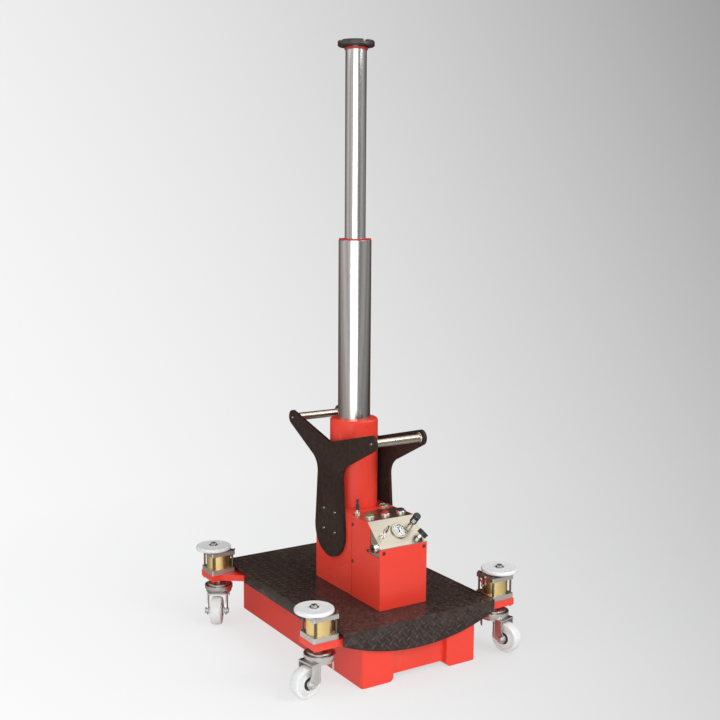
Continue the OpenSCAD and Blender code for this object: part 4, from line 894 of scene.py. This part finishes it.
def addWheels():
    radius = castor["wheelRadius"]
    half = castor["width"] / 2
    web = half - castor["webIn"]
    hub = castor["hubHalf"]
    bore = lift["bore"]
    side = [(bore, -hub), (10.5, -hub), (11.0, 0.5 - hub), (11.0, -half - 3), (12, -half - 1),
            (20.5, -half - 1), (21, -half), (23, -web), (37, -web), (39.5, -half + 0.4), (radius - 6, -half)]
    crown = [(radius - 3.2, -half + 1.0), (radius - 1.6, -half + 3.6), (radius - 0.7, -half + 8),
             (radius - 0.15, -half + 14)]
    profile = side + crown + [(radius, 0)]
    profile += [(r, -z) for r, z in reversed(crown)] + [(r, -z) for r, z in reversed(side)] + [(bore, -hub)]
    wheel = finished(turned("wheel", profile, 80, False), 32, "whiteNylon")
    cap = turned("cap", [(11.6, -half - 1.3), (20.3, -half - 1.3), (20.9, -half - 1.9), (20.4, -half - 2.5),
                         (14, -half - 3.0), (11.6, -half - 2.6), (11.6, -half - 1.3)], 48, False)
    faceOut(cap)
    otherCap = copied(cap, "cap", Matrix.Rotation(math.radians(180), 4, "X"))
    caps = finished(joined([cap, otherCap], "wheelCaps"), 30, "blackPlastic")
    lay = Matrix.Translation((castor["trail"], 0, radius)) @ Matrix.Rotation(math.radians(90), 4, "X")
    for corner in corners:
        place = castorPlace(corner) @ lay
        roller = copied(wheel, "castorWheel_" + corner, place)
        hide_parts("castor_wheel_" + corner)
        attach(roller, "wheel_" + corner)
        seal = copied(caps, "bearingCaps_" + corner, place)
        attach(seal, "wheel_" + corner)
    dropMaster(wheel)
    dropMaster(caps)


for corner in corners:
    for node, piece, width in (("castor_fork_", "castorFork_", 1.4), ("castor_axle_", "castorAxle_", 0.6),
                               ("lift_rod_", "liftRod_", 1.0)):
        softCopy(node + corner, piece + corner, looks["zinc"], width)
addWheels()
print("castors dressed")


# Sloped panel: buttons, gauges, levers and knobs

panel = {"front": 317.9, "low": 403.0, "top": 474.1, "back": 237.1, "toggle": (-64, 46), "togglePivot": 10,
         "gauge": (7, 55), "regulator": (58, 67), "regulatorUp": 12, "regulatorTilt": 2, "gripLow": 10.3,
         "topGauge": (64, -97), "needleValve": (-70, -142), "needleLow": 15.3, "buttonY": -194, "buttonX": 8,
         "buttonPitch": 62}
slope = math.atan2(panel["top"] - panel["low"], panel["front"] - panel["back"])


def panelPlace(at, up=0.0, tilt=0.0):
    return Matrix.Scale(mm, 4) @ Matrix.Translation((0, -panel["front"], panel["low"])) @ \
        Matrix.Rotation(slope, 4, "X") @ Matrix.Translation((at[0], at[1], up)) @ \
        Matrix.Rotation(math.radians(tilt), 4, "Y")


def topPlace(at, up=0.0):
    return Matrix.Scale(mm, 4) @ Matrix.Translation((at[0], at[1], panel["top"] + up))


def addTurnedPiece(name, profile, look, place, body, node=None, verts=48, solid=True):
    piece = finished(turned(name, profile, verts, solid), 35, look)
    putInPlace(piece, place)
    if node:
        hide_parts(node)
    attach(piece, body)


def addButtons():
    profile = [(11.5, -14), (11.5, 10.5)] + rounded(8.5, 10.5, 3.0, 0, 62, 5)
    profile += [(7, 14.1), (4, 14.8), (0.4, 15)]
    buttons = (("green", "greenPlastic"), ("red", "redPlastic"), ("grey", "capBrown"))
    for index, (color, look) in enumerate(buttons):
        at = (panel["buttonX"] + (index - 1) * panel["buttonPitch"], panel["buttonY"])
        addTurnedPiece(color + "Button", profile, look, topPlace(at), color + "_button", color + "_button")


def addToggle():
    place = panelPlace(panel["toggle"], panel["togglePivot"])
    lever = [(1.2, -4.3)] + rounded(0, 0, 4.5, -70, 55, 10) + [
        (2.4, 5), (2.4, 7.5), (3.2, 9.5), (5.6, 13.5), (6.7, 17.5), (6.95, 21), (6.6, 25), (5.4, 33), (4.2, 41),
        (3.3, 46.5), (3.1, 48)]
    addTurnedPiece("toggleLever", lever, "chrome", place, "toggle_lever", "toggle_lever", 32)
    tip = [(3.1, 48), (3.3, 48.5)] + rounded(0.3, 48.9, 3.0, 0, 85, 6)
    addTurnedPiece("toggleTip", tip, "blackPlastic", place, "toggle_lever", None, 32)


def addRegulator():
    base = panel["gripLow"]
    place = panelPlace(panel["regulator"], panel["regulatorUp"], panel["regulatorTilt"])
    steps = [(3, -7), (3, 0), (10.6, 0), (12, 1.2), (12.5, 3), (12.5, 4.4), (11.9, 5.0), (11.9, 27),
             (12.5, 27.6), (12.5, 29.6), (11.7, 30.2), (11.7, 31), (12.4, 31.8), (12.4, 35.4), (11.2, 37.4),
             (8.6, 38), (8.4, 37.4), (0.5, 37.4)]
    profile = [(radius, base + up) for radius, up in steps]
    addTurnedPiece("regulatorGrip", profile, "blackPlastic", place, "regulator_grip", "regulator_grip")
    # its window is a strip of a ring, turned to where the photograph shows it
    facing = math.radians(222)
    strip = [(11.95, base + 6.5), (12.3, base + 6.8), (12.3, base + 23.2), (11.95, base + 23.5)]
    window = turned("regulatorWindow", strip, 96, False)
    deleteFaces(window, lambda center: math.cos(math.atan2(center.y, center.x) - facing) < 0.87)
    applyModifier(window, "SOLIDIFY", thickness=0.5, offset=-1.0)
    finished(window, 30, "windowGrey")
    putInPlace(window, place)
    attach(window, "regulator_grip")


def addNeedleValve():
    base = panel["needleLow"]
    steps = [(3, -7), (3, 0), (5.6, 0), (6, 0.6), (6, 18.6), (5.2, 20), (3.5, 20.6), (3.3, 24), (3.4, 27.4)]
    profile = [(radius, base + up) for radius, up in steps + rounded(0, 32, 5.5, -50, 86, 10)]
    addTurnedPiece("needleValveGrip", profile, "blackPlastic", topPlace(panel["needleValve"]),
                   "needle_valve_grip", "needle_valve_grip", 32)


dial = {"start": 120, "ticks": 25, "tickStep": 10, "numberStep": 60, "inkUp": 1.36}


def addDial(name, place, radius, labels):
    # a printed dial: white disc, ticks and plain numbers, over 240 degrees
    disc = [(radius, 1.02), (radius, 1.2), (radius - 0.3, 1.3), (1.4, 1.3), (1.4, 1.02), (radius, 1.02)]
    addTurnedPiece(name + "Dial", disc, "dialWhite", place, "root", None, 64, False)
    ticks = []
    for step in range(dial["ticks"]):
        angle = math.radians(dial["start"] - step * dial["tickStep"])
        long = step % 6 == 0
        depth = (0.16 if long else 0.09) * radius
        out = radius * 0.92 - depth / 2
        turn = Matrix.Rotation(angle, 4, "Z") @ Matrix.Translation((0, out, dial["inkUp"]))
        deselect()
        bpy.ops.mesh.primitive_plane_add(size=1)
        tick = started("tick")
        tick.scale = (0.7 if long else 0.35, depth, 1)
        putInPlace(tick, turn)
        ticks.append(tick)
    for index, label in enumerate(labels):
        angle = math.radians(dial["start"] - index * dial["numberStep"])
        deselect()
        bpy.ops.object.text_add()
        number = bpy.context.active_object
        number.data.body = label
        number.data.size = radius * 0.26
        number.data.align_x = "CENTER"
        number.data.align_y = "CENTER"
        bpy.ops.object.convert(target="MESH")
        number = started("number")
        out = radius * 0.62
        putInPlace(number, Matrix.Translation((-math.sin(angle) * out, math.cos(angle) * out, dial["inkUp"])))
        ticks.append(number)
    marks = joined(ticks, name + "Print")
    putInPlace(marks, place)
    dress(marks, looks["dialInk"])
    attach(marks, "root")


addButtons()
addToggle()
addRegulator()
addNeedleValve()
softCopy("ribbed_knob", "ribbedKnob", looks["blackPlastic"], 0.5)
addDial("panelGauge", panelPlace(panel["gauge"]), 21.8, ("0", "3", "6", "9", "12"))
addDial("topGauge", topPlace(panel["topGauge"]), 15.8, ("0", "4", "8", "12", "16"))

plain = {"gauge_lenses": "glass", "panel_gauge_needle": "dialInk", "top_gauge_needle": "dialInk"}
for nodeName, look in plain.items():
    dressNode(nodeName, looks[look])
print("controls dressed")


# Small trim on the mast and brackets, and a painted shadow strip at the cover

mast = {"at": -5.5, "ring": (2004, 2012), "rod": 35.25, "barEnd": 91.0, "bar": 14.0,
        "barAt": ((-270.0, 742.0), (250.0, 742.0))}


def addSaddleRing():
    rod = mast["rod"]
    low, top = mast["ring"]
    ring = [(rod + 0.1, low), (rod + 3, low), (rod + 3.6, low + 1), (rod + 3.6, top - 1), (rod + 3, top),
            (rod + 0.1, top), (rod + 0.1, low)]
    place = Matrix.Scale(mm, 4) @ Matrix.Translation((0, mast["at"], 0))
    addTurnedPiece("saddleRing", ring, "redHose", place, "upper_stage", None, 72, False)


def addBarCollars():
    bar = mast["bar"]
    ring = [(bar + 0.1, 0.1), (bar + 3.2, 0.1), (bar + 3.8, 0.8), (bar + 3.8, 5.2), (bar + 3.0, 6),
            (bar + 0.1, 6), (bar + 0.1, 0.1)]
    for side in (-1, 1):
        for index, (along, height) in enumerate(mast["barAt"]):
            place = Matrix.Scale(mm, 4) @ Matrix.Translation((side * mast["barEnd"], along, height)) @ \
                Matrix.Rotation(math.radians(-90 * side), 4, "Y")
            name = "barCollar%d%s" % (index, "R" if side > 0 else "L")
            addTurnedPiece(name, ring, "chrome", place, "root", None, 48, False)


seamShadowSize = {"thick": 0.5, "wide": 1.5, "shorter": 4, "sunk": 0.1}


def addCoverSeamShadow():
    # a dark strip as painted shadow: the shadow line where the front cover meets the housing behind it
    cover = scene.objects["frontCover"].data.vertices
    side = max(vertex.co.x for vertex in cover)
    back = max(vertex.co.y for vertex in cover)
    low, top = (pick(vertex.co.z for vertex in cover) for pick in (min, max))
    strips = []
    for sign in (-1, 1):
        deselect()
        bpy.ops.mesh.primitive_cube_add(size=1)
        strip = started("seamShadowStrip")
        strip.scale = (seamShadowSize["thick"] * mm, seamShadowSize["wide"] * mm, top - low - seamShadowSize["shorter"] * mm)
        strip.location = (sign * (side - seamShadowSize["sunk"] * mm), back, (top + low) / 2)
        activate(strip)
        bpy.ops.object.transform_apply(location=True, rotation=True, scale=True)
        strips.append(strip)
    line = joined(strips, "coverSeamShadow")
    dress(line, looks["screwBrownAndSeamShadow"])
    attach(line, "root")


addSaddleRing()
addBarCollars()
addCoverSeamShadow()
print("trim added")
